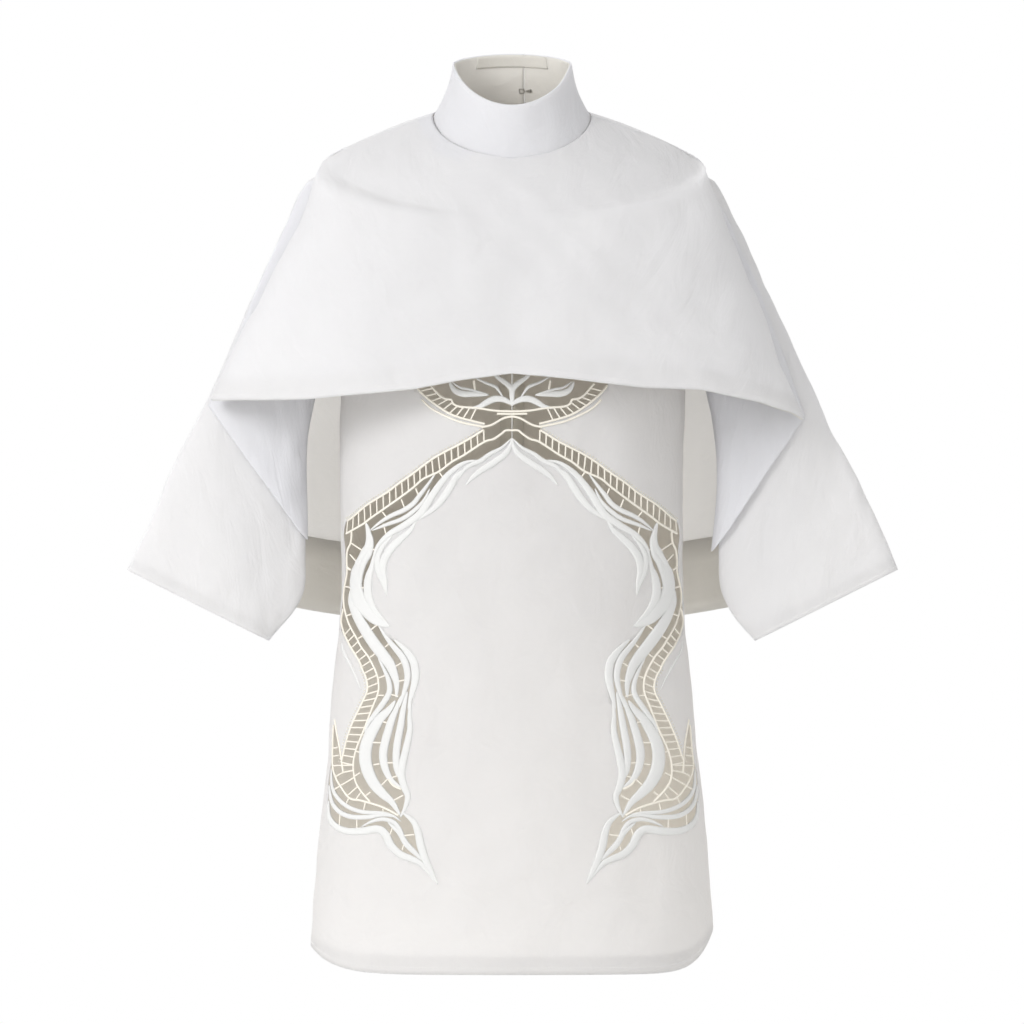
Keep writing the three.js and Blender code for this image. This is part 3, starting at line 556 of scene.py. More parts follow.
def snap_to_armhole(points):
    """Moves points near the armhole's rim onto it, so that the cut edge is smooth."""
    y, z = points[:, 1] / ARMHOLE_HALF_DEPTH, (points[:, 2] - ARMHOLE_Z) / ARMHOLE_HALF_HEIGHT
    reach = np.hypot(y, z)
    near = (np.abs(points[:, 0]) > 130) & (reach > 0.86) & (reach < 1)
    points = points.copy()
    points[near, 1] /= reach[near]
    points[near, 2] = ARMHOLE_Z + (points[near, 2] - ARMHOLE_Z) / reach[near]
    return points


def in_armhole(points):
    reach = np.hypot(points[:, 1] / ARMHOLE_HALF_DEPTH, (points[:, 2] - ARMHOLE_Z) / ARMHOLE_HALF_HEIGHT)
    return (np.abs(points[:, 0]) > 130) & (reach < 0.93)


def row_height(theta, row):
    """A length down the panel for each row, which keeps the panel's flat cut in proportion."""
    heights = np.array([r[3] for r in BODY_ROWS] + [HEM_Z], float)
    return np.interp(row, np.arange(LAST_ROW + 2), heights)


whole_opening = OPENING_EDGE + mirrored(OPENING_EDGE[1:-1])
edge_line = smooth_line(whole_opening + whole_opening[:1], 2.0)[:-1]
ANGLE_TO_MM = 185.0
edge_theta, edge_row = front_place(edge_line[:, 0], edge_line[:, 1])
edge_flat = np.stack([edge_theta * ANGLE_TO_MM, row_height(edge_theta, edge_row)], 1)
limit = (math.pi / 2 - SIDE_SEAM) * ANGLE_TO_MM
GRID_STEP = 5.0
across = np.linspace(-limit, limit, int(2 * limit / GRID_STEP))
tops = np.concatenate([np.linspace(r, r + 1, 9)[:-1] for r in range(8)])
lows = np.interp(np.arange(-315, HEM_Z + 1, -GRID_STEP), [HEM_Z, *[r[3] for r in BODY_ROWS[:7:-1]]],
                 [LAST_ROW + 1, *range(LAST_ROW, 7, -1)])
row_list = np.concatenate([tops, [8.0], lows, [LAST_ROW + 1.0]])
s_grid, row_grid = (a.ravel() for a in np.meshgrid(across, row_list))
flat_grid = np.stack([s_grid, row_height(None, row_grid)], 1)
apart = np.full(len(flat_grid), 1e9)
for point in edge_flat:
    apart = np.minimum(apart, np.hypot(*(flat_grid - point).T))
flat_grid = flat_grid[(apart > 2.0) & ~inside_outline(flat_grid[:, 0], flat_grid[:, 1], edge_flat)]
count = len(edge_flat)
places = [Vector(p) for p in np.vstack([edge_flat, flat_grid])]
loop = [(k, (k + 1) % count) for k in range(count)]
cut_points, _, cut_faces, _, _, _ = delaunay_2d_cdt(places, loop, [], 0, 1e-4)
cut_points = np.array([tuple(p) for p in cut_points])
cut_faces = np.array([tuple(f) for f in cut_faces if len(f) == 3])
centres = cut_points[cut_faces].mean(axis=1)
cut_faces = cut_faces[~inside_outline(centres[:, 0], centres[:, 1], edge_flat)]
heights = [r[3] for r in BODY_ROWS] + [HEM_Z]
panel_rows = np.interp(cut_points[:, 1], heights[::-1], np.arange(LAST_ROW + 1, -1, -1))
panel_points = snap_to_armhole(body_cloth(cut_points[:, 0] / ANGLE_TO_MM, panel_rows))
cut_faces = cut_faces[~in_armhole(panel_points[cut_faces].mean(axis=1))]
used = np.unique(cut_faces)
renumber = np.zeros(len(panel_points), int)
renumber[used] = np.arange(len(used))
panel_points, panel_flat, cut_faces = panel_points[used], cut_points[used], renumber[cut_faces]
front_panel = thick_cloth(
    "front_panel_cloth", panel_points, cut_faces, panel_flat, poplin, behind=panel_inside_painted_shade
)
theta_row = np.linspace(-math.pi / 2 + 0.02, math.pi / 2 - 0.02, 160)


def hem_path(angles, row):
    return body_cloth(angles, np.full(len(angles), row), 0.12)


front_stitches = grow("front_hem_stitches", [hem_path(theta_row, 13.9)], row_of_stitches, **STITCH)
front_fold = grid(
    lambda u, v: body_cloth(-1.55 + 3.1 * u, 13.75 + 0.24 * v, -CLOTH - 0.8), 90, 3
)
front_hem = thick_cloth("front_hem_turning", *front_fold, poplin_wrong_side, thickness=0.7)
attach(front_panel, "dress")
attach(front_stitches, "dress")
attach(front_hem, "dress")
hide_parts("front_panel")
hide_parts("hem_facing_front")


# Openwork: cutwork in ivory cotton thread. Padded satin-stitched leaves and corded rails cross the
# opening, twisted bars join them like rungs, and a row of picots runs beside the ladders. It is
# worked on the panel before the cloth behind it is cut away, and the left is the right mirrored.

BAND_LEAVES = [  # greatest width, then the middle line, from the waist down
    (2.4, [(-171, -525), (-168, -536), (-162, -547), (-155.5, -559.5), (-149, -573)]),
    (4.5, [(0, -322), (-10, -331.5), (-22, -338), (-31, -344.5), (-43, -350), (-49, -356), (-54, -364)]),
    (6.5, [(0, -322), (-2, -331), (-8, -339), (-20, -347.5), (-31, -354.5), (-39, -361), (-46, -369)]),
    (7.5, [(-34, -344), (-48, -347), (-62, -357), (-72, -368.5), (-80, -380), (-86, -390), (-93, -399),
           (-107, -409), (-122, -418), (-133, -430), (-138, -444)]),
    (7.5, [(-44, -352), (-54, -359), (-61, -370), (-69, -382), (-79, -393), (-95, -404)]),
    (5.0, [(-76, -357), (-84, -368.5), (-92, -379), (-98, -387), (-107, -393.5), (-119, -399), (-129, -405),
           (-140, -414)]),
    (4.5, [(-82, -372), (-88, -384.5), (-98, -395), (-109, -402.5), (-124, -408), (-138, -414)]),
    (8.0, [(-94, -403), (-101, -414), (-110, -422), (-119, -431), (-126, -442), (-128, -454), (-126, -466),
           (-125, -479)]),
    (6.0, [(-118, -418), (-128, -430), (-133, -442), (-132, -455), (-128, -466), (-125, -477)]),
    (6.5, [(-144, -406), (-142, -413), (-141, -422), (-143, -431), (-149, -440), (-155, -448), (-158, -458)]),
    (6.0, [(-141, -414), (-139, -424), (-141, -436), (-147, -446), (-151, -458), (-152, -470)]),
    (13.5, [(-146, -430), (-152, -446), (-156, -456), (-157, -468), (-155.5, -478), (-151.5, -487),
            (-146, -494), (-139, -501.5), (-130, -506.5), (-122, -509)]),
    (8.5, [(-136, -436), (-139, -450), (-142, -458), (-144, -466), (-144.5, -475), (-143, -483),
           (-139, -491.5), (-132, -500), (-124, -507)]),
    (11.5, [(-163, -474), (-162, -485), (-158, -494), (-152.5, -505), (-145.5, -516), (-137.5, -527),
            (-129.5, -537), (-122, -547), (-118, -556), (-115, -566), (-115, -580)]),
    (5.5, [(-134, -540), (-127, -553), (-122.5, -564), (-122, -575), (-128, -586), (-136, -597),
           (-142.5, -606), (-146, -616)]),
    (8.5, [(-118, -522), (-109, -530), (-102, -538), (-97.5, -546), (-96, -557), (-97, -566), (-100, -578),
           (-103, -592)]),
    (7.0, [(-134, -508), (-125, -521), (-117.5, -530), (-110, -539), (-106, -547), (-104, -557), (-105, -566),
           (-108, -577), (-112, -590)]),
    (12.5, [(-116, -583), (-122, -592), (-131.5, -602), (-140.5, -617), (-145, -630), (-145.5, -643),
            (-142.5, -655), (-136.5, -666), (-128, -675.5), (-119, -684), (-111, -697)]),
    (8.5, [(-110, -578), (-115, -592), (-120, -604), (-125, -621), (-127.5, -636), (-125.5, -650),
           (-119.5, -662), (-109, -670)]),
    (7.5, [(-104, -574), (-107, -588), (-110, -606), (-113.5, -626), (-114.5, -643), (-113, -655),
           (-106, -667)]),
    (7.5, [(-100, -580), (-101.5, -597), (-101, -611), (-104, -628), (-107.5, -643), (-109.5, -657),
           (-106.5, -669.5), (-103.5, -678), (-106, -689), (-111, -699)]),
    (4.2, [(-182, -652), (-181, -669), (-175, -680.5), (-164, -689), (-148.5, -694), (-129, -695),
           (-118, -697.5), (-110, -703)]),
    (4.8, [(-184, -668), (-181, -684), (-173, -694), (-160.5, -699), (-142.5, -699), (-128, -697),
           (-114, -699)]),
    (8.0, [(-184, -684), (-183.5, -698), (-177.5, -707.5), (-165.5, -713), (-148.5, -713), (-133, -711),
           (-125.5, -716), (-120.5, -726.5), (-112, -735), (-100, -740), (-91.5, -744), (-84, -752),
           (-75, -764)]),
    (4.4, [(-150, -709), (-139, -703.5), (-128, -701), (-118, -703.5), (-112, -709.5), (-107, -719),
           (-99, -730)]),
    (6.0, [(-123, -704), (-112, -714), (-105, -725), (-96, -734), (-88, -742)]),
    (8.0, [(-109, -694), (-98, -703), (-93, -714), (-90.5, -726), (-86, -740), (-80, -753), (-74, -765)]),
]
TOP_RAIL = [
    (-28, -314), (-47.5, -326), (-69, -337), (-81.5, -344.5), (-99.5, -358), (-113, -367.5), (-124.5, -376.5),
    (-142.5, -388), (-157.5, -400), (-164, -404),
]
LOW_RAIL = [
    (0, -314.5), (-6, -314.5), (-10, -317.5), (-18, -323), (-27.5, -326), (-47.5, -339), (-60, -346),
    (-72, -355), (-88, -362.5), (-98, -371), (-111, -381), (-124.5, -391), (-139, -401.5), (-146, -407),
    (-159, -414), (-165, -417),
]
CURVED_RAIL = [
    (-168, -518), (-162, -529.5), (-157, -537), (-152, -545), (-149, -552), (-145.5, -558.5), (-143, -567),
    (-143.5, -575), (-148.5, -586), (-157, -604), (-164.5, -623.5), (-171, -645),
]
INNER_RAIL = [
    (-168.5, -490), (-165.5, -501.5), (-162, -510.5), (-155.5, -522), (-150.5, -530.5), (-144, -538.5),
    (-139, -547), (-135, -555), (-132.5, -563.5), (-132.5, -575), (-138.5, -591), (-147.5, -615),
    (-155, -633),
    (-158, -647.5), (-156.5, -662), (-151, -672), (-140, -684),
]
OTHER_RAILS = [
    [(-165.5, -446), (-165.5, -456), (-168.5, -470), (-169.5, -480), (-168.5, -490)],
    [(-159, -414), (-160, -425.5), (-164.5, -434.5), (-165.5, -449), (-161, -453.5)],
    [(-169, -492), (-171, -505), (-168, -518)],
    [(-177, -603), (-173, -625), (-170.5, -644), (-169, -655)],
    [(-178, -608), (-180, -630), (-180.5, -648), (-177, -660), (-171.5, -669.5), (-162, -680.5),
     (-148.5, -683), (-128, -689), (-113, -697)],
    [(-122, -661), (-118, -667), (-110, -671)],
    [(-29, -311), (-20, -309), (-9.5, -303), (-2.5, -301), (0, -301)],
]
BARS = [
    [(-73.5, -354.5), (-68.5, -361.5)], [(-96, -372), (-93, -380)], [(-110, -383), (-106.5, -392)],
    [(-128, -395.5), (-124.5, -400)], [(-127, -407), (-124.5, -419)], [(-140, -431), (-135, -434)],
    [(-161, -426), (-148, -434)], [(-162, -438), (-154, -446)], [(-167.5, -470), (-163, -471)],
    [(-151, -471), (-147, -471)], [(-166, -499), (-161, -497)], [(-154.5, -521.5), (-149, -518)],
    [(-142.5, -540.5), (-136, -536)], [(-133, -561), (-126, -558)], [(-142, -513), (-135, -507.5)],
    [(-127, -530), (-121, -525)], [(-118, -550), (-108, -544)], [(-114, -564), (-105, -562)],
    [(-133, -578), (-127, -578)], [(-120, -577), (-113, -579)], [(-130, -604), (-124, -605)],
    [(-138, -625), (-130, -625)], [(-137, -647), (-131, -646)], [(-129, -667), (-123, -661)],
    [(-123, -645), (-117, -645)], [(-120, -660), (-114, -658)], [(-117, -682), (-108, -677)],
    [(-158, -659), (-151, -655)], [(-155, -634), (-149, -635)], [(-149, -617), (-144, -618)],
    [(-145, -678), (-140, -674)], [(-127.5, -688), (-127.5, -694)], [(-145, -684), (-147, -692)],
    [(-163, -680), (-167, -688)], [(-172, -668), (-180, -673)], [(-172, -694), (-173, -708)],
    [(-154.5, -699), (-154.5, -711)], [(-118, -708), (-121, -716)], [(-106, -722), (-109, -731)],
    [(-107, -717), (-97, -716)], [(-180, -648.5), (-158, -647.5)],
    [(-176.5, -659), (-169, -655), (-158.5, -653)],
    [(-172, -668), (-158, -660)], [(-165, -678), (-154, -669)], [(-155, -681), (-150.5, -675)],
    [(-179.5, -631), (-174.5, -630)], [(-180, -639), (-173.5, -638)],
]
BOWL_LEAVES = [
    (6.5, [(-62, -266), (-57, -274.5), (-48.5, -278), (-38.5, -278.5), (-23, -279.5)]),
    (2.6, [(-60, -266), (-51, -272), (-41, -274), (-23, -279)]),
    (6.5, [(1, -290), (-3, -286.5), (-10, -283.5), (-18, -283.5), (-25.5, -287), (-32.5, -291),
           (-42, -292.5)]),
    (3.0, [(-40, -260), (-27, -267), (-17, -271), (-13, -275.5), (-8, -283)]),
    (5.5, [(-20, -256), (-14, -262), (-5, -268.5), (-0.6, -274), (-0.4, -282), (0, -291)]),
]
BOWL_OUTER_RAIL = [(-95, -270), (-91, -275.5), (-83, -283), (-74, -290), (-63, -297), (-52, -301.5),
                   (-41, -304.5), (-27, -308)]
BOWL_INNER_RAIL = [(-82, -268), (-78, -272.5), (-72, -279.5), (-66, -283), (-60, -284), (-58, -288),
                   (-51, -291), (-35, -292)]
BOWL_OTHER_RAILS = [
    [(-89, -284), (-80, -292.5), (-66, -300), (-51, -306), (-35.5, -309.5), (-27, -311)],
    [(-35, -292), (-16, -295), (0, -295.6)],
    [(-15, -298), (0, -298.3)],
    [(-38, -265), (-36.5, -274)],
]
LEAF_HEIGHT = 1.5
RUNG_SPACING = 7.3
TWISTED_BAR = {"Radius": 0.85 * MM, "Sides": 6}
RAIL_CORD = {"Radius": 1.15 * MM, "Sides": 8}


def cord_tree():
    """Runs a round cord along every path, with closed ends."""
    tree = bpy.data.node_groups.new("corded_line", "GeometryNodeTree")
    for name, kind in (
        ("Path", "NodeSocketGeometry"),
        ("Radius", "NodeSocketFloat"),
        ("Sides", "NodeSocketInt"),
        ("Thread", "NodeSocketMaterial"),
    ):
        tree.interface.new_socket(name=name, in_out="INPUT", socket_type=kind)
    tree.interface.new_socket(name="Cord", in_out="OUTPUT", socket_type="NodeSocketGeometry")
    start = add(tree, "NodeGroupInput")
    line = add(tree, "GeometryNodeMeshToCurve", {"Mesh": start.outputs["Path"]})
    section = add(
        tree,
        "GeometryNodeCurvePrimitiveCircle",
        {"Resolution": start.outputs["Sides"], "Radius": start.outputs["Radius"]},
    )
    round_cord = add(
        tree,
        "GeometryNodeCurveToMesh",
        {"Curve": line.outputs[0], "Profile Curve": section.outputs[0], "Fill Caps": True},
    )
    real = add(tree, "GeometryNodeRealizeInstances", {"Geometry": round_cord.outputs[0]})
    finished = add(
        tree, "GeometryNodeSetMaterial", {"Geometry": real.outputs[0], "Material": start.outputs["Thread"]}
    )
    add(tree, "NodeGroupOutput", {"Cord": finished.outputs[0]})
    return tree


corded_line = cord_tree()
satin_thread = thread_finish("satin_stitched_cotton", "#DBDBDA", 0.9, 0.55)
bar_thread = thread_finish("twisted_cotton_bar", "#E3DED3", 0.7, 0.6)


def satin_leaves(name, leaves, side):
    """Padded leaves: each is highest along its middle line and narrows to both ends."""
    section = np.linspace(-1, 1, 9)
    all_points, all_faces, all_flat = [], [], []
    start = 0
    for width, line in leaves:
        middle_line = smooth_line(line, 2.0) * [side, 1]
        n = len(middle_line)
        t = np.linspace(0, 1, n)
        taper = np.maximum(np.sin(math.pi * np.clip(t, 0.004, 0.996)) ** 0.62, 0.1)
        along = np.gradient(middle_line, axis=0)
        along /= np.linalg.norm(along, axis=1)[:, None]
        beside = np.stack([-along[:, 1], along[:, 0]], 1)
        half = width / 2 * taper
        x_z = middle_line[:, None] + beside[:, None] * (half[:, None] * section)[:, :, None]
        crown = min(LEAF_HEIGHT, 0.25 + width * 0.22) * taper[:, None] * np.sqrt(1 - section**2 * 0.98)
        top = on_front(x_z[:, :, 0].ravel(), x_z[:, :, 1].ravel(), (crown + 0.15).ravel())
        under = on_front(x_z[:, ::-1, 0].ravel(), x_z[:, ::-1, 1].ravel(), -CLOTH - 0.1)
        rings = np.concatenate([top.reshape(n, 9, 3), under.reshape(n, 9, 3)], axis=1)
        length = np.concatenate([[0], np.cumsum(np.linalg.norm(np.diff(middle_line, axis=0), axis=1))])
        spread = np.concatenate([half[:, None] * section, half[:, None] * section[::-1]], axis=1)
        flat = np.stack([spread, np.broadcast_to(length[:, None], spread.shape)], 2)
        ring = 18
        faces = [
            (start + j * ring + k, start + j * ring + (k + 1) % ring,
             start + (j + 1) * ring + (k + 1) % ring, start + (j + 1) * ring + k)
            for j in range(n - 1) for k in range(ring)
        ]
        faces.append(tuple(start + k for k in range(ring))[::-1])
        faces.append(tuple(start + (n - 1) * ring + k for k in range(ring)))
        if side > 0:
            faces = [f[::-1] for f in faces]
        all_points.append(rings.reshape(-1, 3))
        all_faces += faces
        all_flat.append(flat.reshape(-1, 2))
        start += n * ring
    return make_piece(name, np.vstack(all_points), all_faces, np.vstack(all_flat), satin_thread)


def rungs_between(first, second):
    """Bars that join two rails at equal shares of their lengths."""
    a, b = (smooth_line(line, 1.0) for line in (first, second))
    number = int(np.linalg.norm(np.diff(a, axis=0), axis=1).sum() / RUNG_SPACING)
    shares = np.linspace(0, 1, number + 1)

    def at(line):
        place = np.concatenate([[0], np.cumsum(np.linalg.norm(np.diff(line, axis=0), axis=1))])
        return [np.interp(shares, place / place[-1], line[:, k]) for k in (0, 1)]

    (ax, az), (bx, bz) = at(a), at(b)
    return [[(ax[k], az[k]), (bx[k], bz[k])] for k in range(number + 1)]


def on_cloth(lines, side, height, smooth=True):
    paths = []
    for line in lines:
        points = smooth_line(line, 2.2) if smooth and len(line) > 2 else np.linspace(line[0], line[-1], 4)
        paths.append(on_front(points[:, 0] * side, points[:, 1], height))
    return paths


def openwork(group, node, side, leaves, rails, bars, picot_lines):
    made = [satin_leaves(f"{group}_leaves", leaves, side)]
    for word, lines, lift, look in (("rails", rails, 0.1, RAIL_CORD), ("bars", bars, -0.3, TWISTED_BAR)):
        cords = on_cloth(lines, side, lift)
        made.append(grow(f"{group}_{word}", cords, corded_line, Thread=bar_thread, **look))
    if picot_lines:
        made.append(grow(
            f"{group}_picots", on_cloth(picot_lines, side, 0.2), row_of_stitches, Thread=bar_thread,
            Spacing=3.3 * MM, **{"Half length": 0.75 * MM, "Radius": 0.75 * MM},
        ))
    for piece in made:
        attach(piece, "dress")
    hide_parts(node)


def beside_line(line, distance):
    points = np.array(line, float)
    along = np.gradient(points, axis=0)
    along /= np.linalg.norm(along, axis=1)[:, None]
    return [tuple(p) for p in points + np.stack([-along[:, 1], along[:, 0]], 1) * distance]


upper_rungs = rungs_between(TOP_RAIL, LOW_RAIL[4:])
lower_rungs = rungs_between(CURVED_RAIL, INNER_RAIL[2:14])
picots = [beside_line(TOP_RAIL, -2.6), beside_line(CURVED_RAIL[4:], -2.6)]
# The tables are drawn at -X and openwork() is given -side, so the pieces whose names end in left
# lie on the wearer's right, and the other way round.
for side, word in ((-1, "left"), (1, "right")):
    openwork(
        f"lace_band_{word}", f"lace_band_{word}", -side, BAND_LEAVES,
        [TOP_RAIL, LOW_RAIL, CURVED_RAIL, INNER_RAIL, *OTHER_RAILS], upper_rungs + lower_rungs + BARS, picots,
    )
bowl_rungs = rungs_between(BOWL_OUTER_RAIL[1:7], BOWL_INNER_RAIL[1:])
for side, word in ((-1, "left"), (1, "right")):
    openwork(
        f"lace_bowl_{word}", "lace_bowl", -side, BOWL_LEAVES,
        [BOWL_OUTER_RAIL, BOWL_INNER_RAIL, *BOWL_OTHER_RAILS], bowl_rungs, [],
    )


# Back panels: two pieces of the same poplin, joined down the centre back by a zip and, below it, by
# a plain seam. Each has the armhole's rear half cut out of its side and a turned, stitched hem.

ZIP_OPENING_HALF = 5.2
ZIP_END_Z = -404


def back_angle(row):
    line = rows_at(BODY_ROWS, np.minimum(row, LAST_ROW) / LAST_ROW)
    closing = np.clip((ZIP_END_Z - line[:, 4]) / 20, 0, 1)
    half_gap = ZIP_OPENING_HALF + (0.2 - ZIP_OPENING_HALF) * closing
    return math.pi - np.arcsin(half_gap / line[:, 0])


for side, word in ((1, "left"), (-1, "right")):
    def back_surface(u, v, side=side):
        row = v * (LAST_ROW + 1)
        start = math.pi / 2 + SIDE_SEAM
        return body_cloth(side * (start + (back_angle(row) - start) * u), row)

    points, faces, flat = grid(back_surface, 64, 196)
    points = snap_to_armhole(points)
    faces = faces[~in_armhole(points[faces].mean(axis=1))]
    panel = thick_cloth(f"back_panel_{word}_cloth", points, faces, flat, poplin, behind=panel_inside_painted_shade)
    angles = side * np.linspace(math.pi / 2 + 0.02, math.pi - 0.03, 110)
    stitches = grow(f"back_hem_stitches_{word}", [hem_path(angles, 13.9)], row_of_stitches, **STITCH)
    turned = grid(
        lambda u, v: body_cloth(side * (1.6 + 1.51 * u), 13.75 + 0.24 * v, -CLOTH - 0.8), 60, 3
    )
    hem = thick_cloth(f"back_hem_turning_{word}", *turned, poplin_wrong_side, thickness=0.7)
    for piece in (panel, stitches, hem):
        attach(piece, "dress")
    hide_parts(f"back_panel_{word}")
    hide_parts(f"hem_facing_back_{word}")


# Zip: a coil zip down the centre back. Each tape is a woven strip with a row of coil turns along its
# edge; the slider, its pull, the bottom stop and the collar's hook and eye have a nickel finish.

ZIP_TOP = (0.0, 59.33, -24.0)
BACK_TILT = math.atan(0.0926)
ZIP_LENGTH = 380
TAPE_OUT = -2.4
TAPE_THICKNESS = 0.8
TAPE_EDGES = (0.3, 12.0)
COIL = {"Half length": 0.55 * MM, "Radius": 0.8 * MM, "Spacing": 1.7 * MM}


def on_zip_line(x, out, up):
    """Points given across, out of and up the flat zip, laid on the tilted centre-back line."""
    x, out, up = np.broadcast_arrays(np.asarray(x, float), np.asarray(out, float), np.asarray(up, float))
    y = out * math.cos(BACK_TILT) - up * math.sin(BACK_TILT)
    z = out * math.sin(BACK_TILT) + up * math.cos(BACK_TILT)
    return np.stack([x, y, z], -1).reshape(-1, 3) + ZIP_TOP


def plated_metal(name, colour, roughness):
    material = bpy.data.materials.new(name)
    material.use_nodes = True
    tree = material.node_tree
    tree.nodes.clear()
    place = add(tree, "ShaderNodeTexCoord").outputs["Object"]
    long_grain = add(tree, "ShaderNodeMapping", {"Vector": place, "Scale": (9000, 9000, 600)})
    grain = add(tree, "ShaderNodeTexNoise", {"Vector": long_grain.outputs[0], "Scale": 1.0, "Detail": 2.0})
    brushed = add(
        tree, "ShaderNodeBump", {"Strength": 0.12, "Distance": 0.00005, "Height": grain.outputs["Fac"]}
    )
    surface = add(
        tree,
        "ShaderNodeBsdfPrincipled",
        {
            "Base Color": linear(colour),
            "Metallic": 1.0,
            "Roughness": roughness,
            "Normal": brushed.outputs[0],
        },
    )
    add(tree, "ShaderNodeOutputMaterial", {"Surface": surface.outputs[0]})
    return material


nickel = plated_metal("nickel_plate", "#D6D6D4", 0.28)
for node_name in ("zip_slider", "zip_pull", "zip_bottom_stop", "collar_hook", "collar_eye"):
    for place in bpy.data.objects[node_name].material_slots:
        place.material = nickel

coil_thread = thread_finish("zip_coil", "#F4F3EF", 0.6, 0.4)
woven_tape = woven_cotton("woven_zip_tape", "#F0EEE8", "#ECE9E2", 0.8)
for side, word in ((1, "left"), (-1, "right")):
    def tape_surface(u, v, side=side):
        across = TAPE_EDGES[0] + (TAPE_EDGES[1] - TAPE_EDGES[0]) * u
        return on_zip_line(side * across, TAPE_OUT - 0.12 * np.sin(math.pi * u), -ZIP_LENGTH * v)

    tape_grid = grid(tape_surface, 8, 120)
    tape = thick_cloth(f"zip_tape_{word}_cloth", *tape_grid, woven_tape, thickness=TAPE_THICKNESS)
    coil_down = np.linspace(-1, -ZIP_LENGTH + 4, 380)
    coil_path = on_zip_line(side * (TAPE_EDGES[0] + 0.8), TAPE_OUT + 0.9, coil_down)
    coil = grow(f"zip_coil_{word}", [coil_path], row_of_stitches, Thread=coil_thread, **COIL)
    for piece in (tape, coil):
        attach(piece, "dress")
    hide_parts(f"zip_tape_{word}")


# Collar: a stand collar of two layers of poplin sewn round the neck seam, edge-stitched along its rim,
# lapping 13 mm past the centre back, with a woven tape inside the back of the neck.

NECK_BASE = {"half": 79, "front": 72.5, "back": 58.5, "front_z": -41.5, "side_z": 1.5, "back_z": 14}
NECK_RIM = {"half": 59, "front": 64, "back": 44, "front_z": 10, "side_z": 54, "back_z": 64}
CLOSING_X = 13
COLLAR_SEAM = -2.4


def ring(spec, theta, share_power=1.0):
    c = np.cos(theta)
    near = np.abs(c) ** share_power
    y = np.where(c >= 0, -spec["front"] * c, -spec["back"] * c)
    z = spec["side_z"] + (np.where(c >= 0, spec["front_z"], spec["back_z"]) - spec["side_z"]) * near
    return np.stack([spec["half"] * np.sin(theta), y, z], 1)


def collar_surface(u, v):
    """u runs once round from the closing edge, v up from the seam to the rim."""
    half = NECK_BASE["half"] + (NECK_RIM["half"] - NECK_BASE["half"]) * v
    closing = math.pi - np.arcsin(CLOSING_X / half) - 0.3 / half
    start = closing + 0.6 / half - math.tau
    theta = start + (closing - start) * u
    hollow = 3.5 * np.sin(math.pi * v) - rumple(np.stack([theta * 65, v * 60], 1), 0.3, 45, 21)
    point = ring(NECK_BASE, theta) * (1 - v)[:, None] + ring(NECK_RIM, theta, 1.25) * v[:, None]
    point[:, 2] += COLLAR_SEAM * (1 - v)
    return point + np.stack([-np.sin(theta) * hollow, np.cos(theta) * hollow, 0 * theta], 1)


def neck_tape_surface(u, v):
    theta = math.pi + np.radians(-38 + 76 * u)
    top = ring(NECK_RIM, theta) - [0, 0, 2]
    point = top + (ring(NECK_BASE, theta) - top) * ((1 - v) * 0.24)[:, None]
    return point + np.stack([-np.sin(theta), np.cos(theta), 0 * theta], 1) * (2.4 * (1 - v) + 3.2)[:, None]


collar_grid = grid(collar_surface, 150, 22)
collar = thick_cloth("collar_cloth", *collar_grid, poplin, thickness=1.3)
lining_grid = grid(lambda u, v: collar_surface(u, 0.04 + 0.945 * v), 150, 20)
lining = thick_cloth("collar_lining_cloth", *lining_grid, poplin_wrong_side, shift=-1.9, thickness=0.9)
tape_grid = grid(neck_tape_surface, 40, 6)
neck_tape = thick_cloth("neck_tape_cloth", *tape_grid, poplin_wrong_side, thickness=0.6)
rim_line = collar_surface(np.linspace(0.004, 0.996, 200), np.full(200, 0.93)) * [1.004, 1.004, 1]
collar_stitches = grow("collar_edge_stitches", [rim_line], row_of_stitches, **STITCH)
for piece, node, slot_name, cut in (
    (collar, "collar_outer", "poplin", collar_grid),
    (lining, "collar_lining", "poplin_inside", lining_grid),
    (neck_tape, "neck_tape", "poplin_inside", tape_grid),
):
    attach(piece, "dress")
    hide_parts(node)
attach(collar_stitches, "dress")


# Cape: a front cape in one piece and a longer back cape in two halves, all caught in the neck seam.
# They hang free from the shoulders.

CAPE_FRONT_ROWS = [  # half width, side height, side depth; the same on the left; depth, height in the middle
    [79.5, 1.5, 0, 79.5, 1.5, 0, -72.5, -41.5], [122, -13.5, 0, 122, -13.5, 0, -84, -60],
    [160, -28, 0, 157, -27, 0, -94, -79], [184, -40, 0, 187, -43, 0, -101, -97],
    [194, -55, -27, 194, -56, -27, -105, -108], [201, -74, -37, 201, -74, -37, -109, -120],
    [217, -113, -45, 216, -113, -45, -116, -145], [251, -176, -38, 244, -177, -38, -121, -182],
    [273, -222, -31, 261, -224, -31, -126, -218], [300, -284, -26, 290, -304, -28, -131, -258],
]
CAPE_BACK_ROWS = [
    [79.5, 1.5, 0, 79.5, 1.5, 0, 58.5, 14], [122, -13.5, 0, 122, -13.5, 0, 75, 4],
    [160, -28, 0, 157, -27, 0, 87, -18], [184, -40, 0, 187, -43, 0, 96, -50],
    [194, -55, 27, 194, -56, 27, 100, -67], [201, -74, 37, 201, -74, 37, 103, -85],
    [217, -113, 45, 216, -113, 45, 108, -120], [251, -176, 40, 244, -177, 40, 112, -185],
    [287, -300, 36, 283, -304, 36, 119, -330], [300, -452, 36, 298, -452, 36, 130, -510],
]
FRONT_HEM_LINE = (  # x and z along the front cape's hem
    (-300, -202, -131, -95, -54, 0, 68, 128, 186, 248, 279, 290),
    (-284, -283, -277, -273, -265, -258, -265, -272, -274, -286, -297, -304),
)
CAPE_BACK_TURN = 62
SHOULDER_GAP = 0.0015


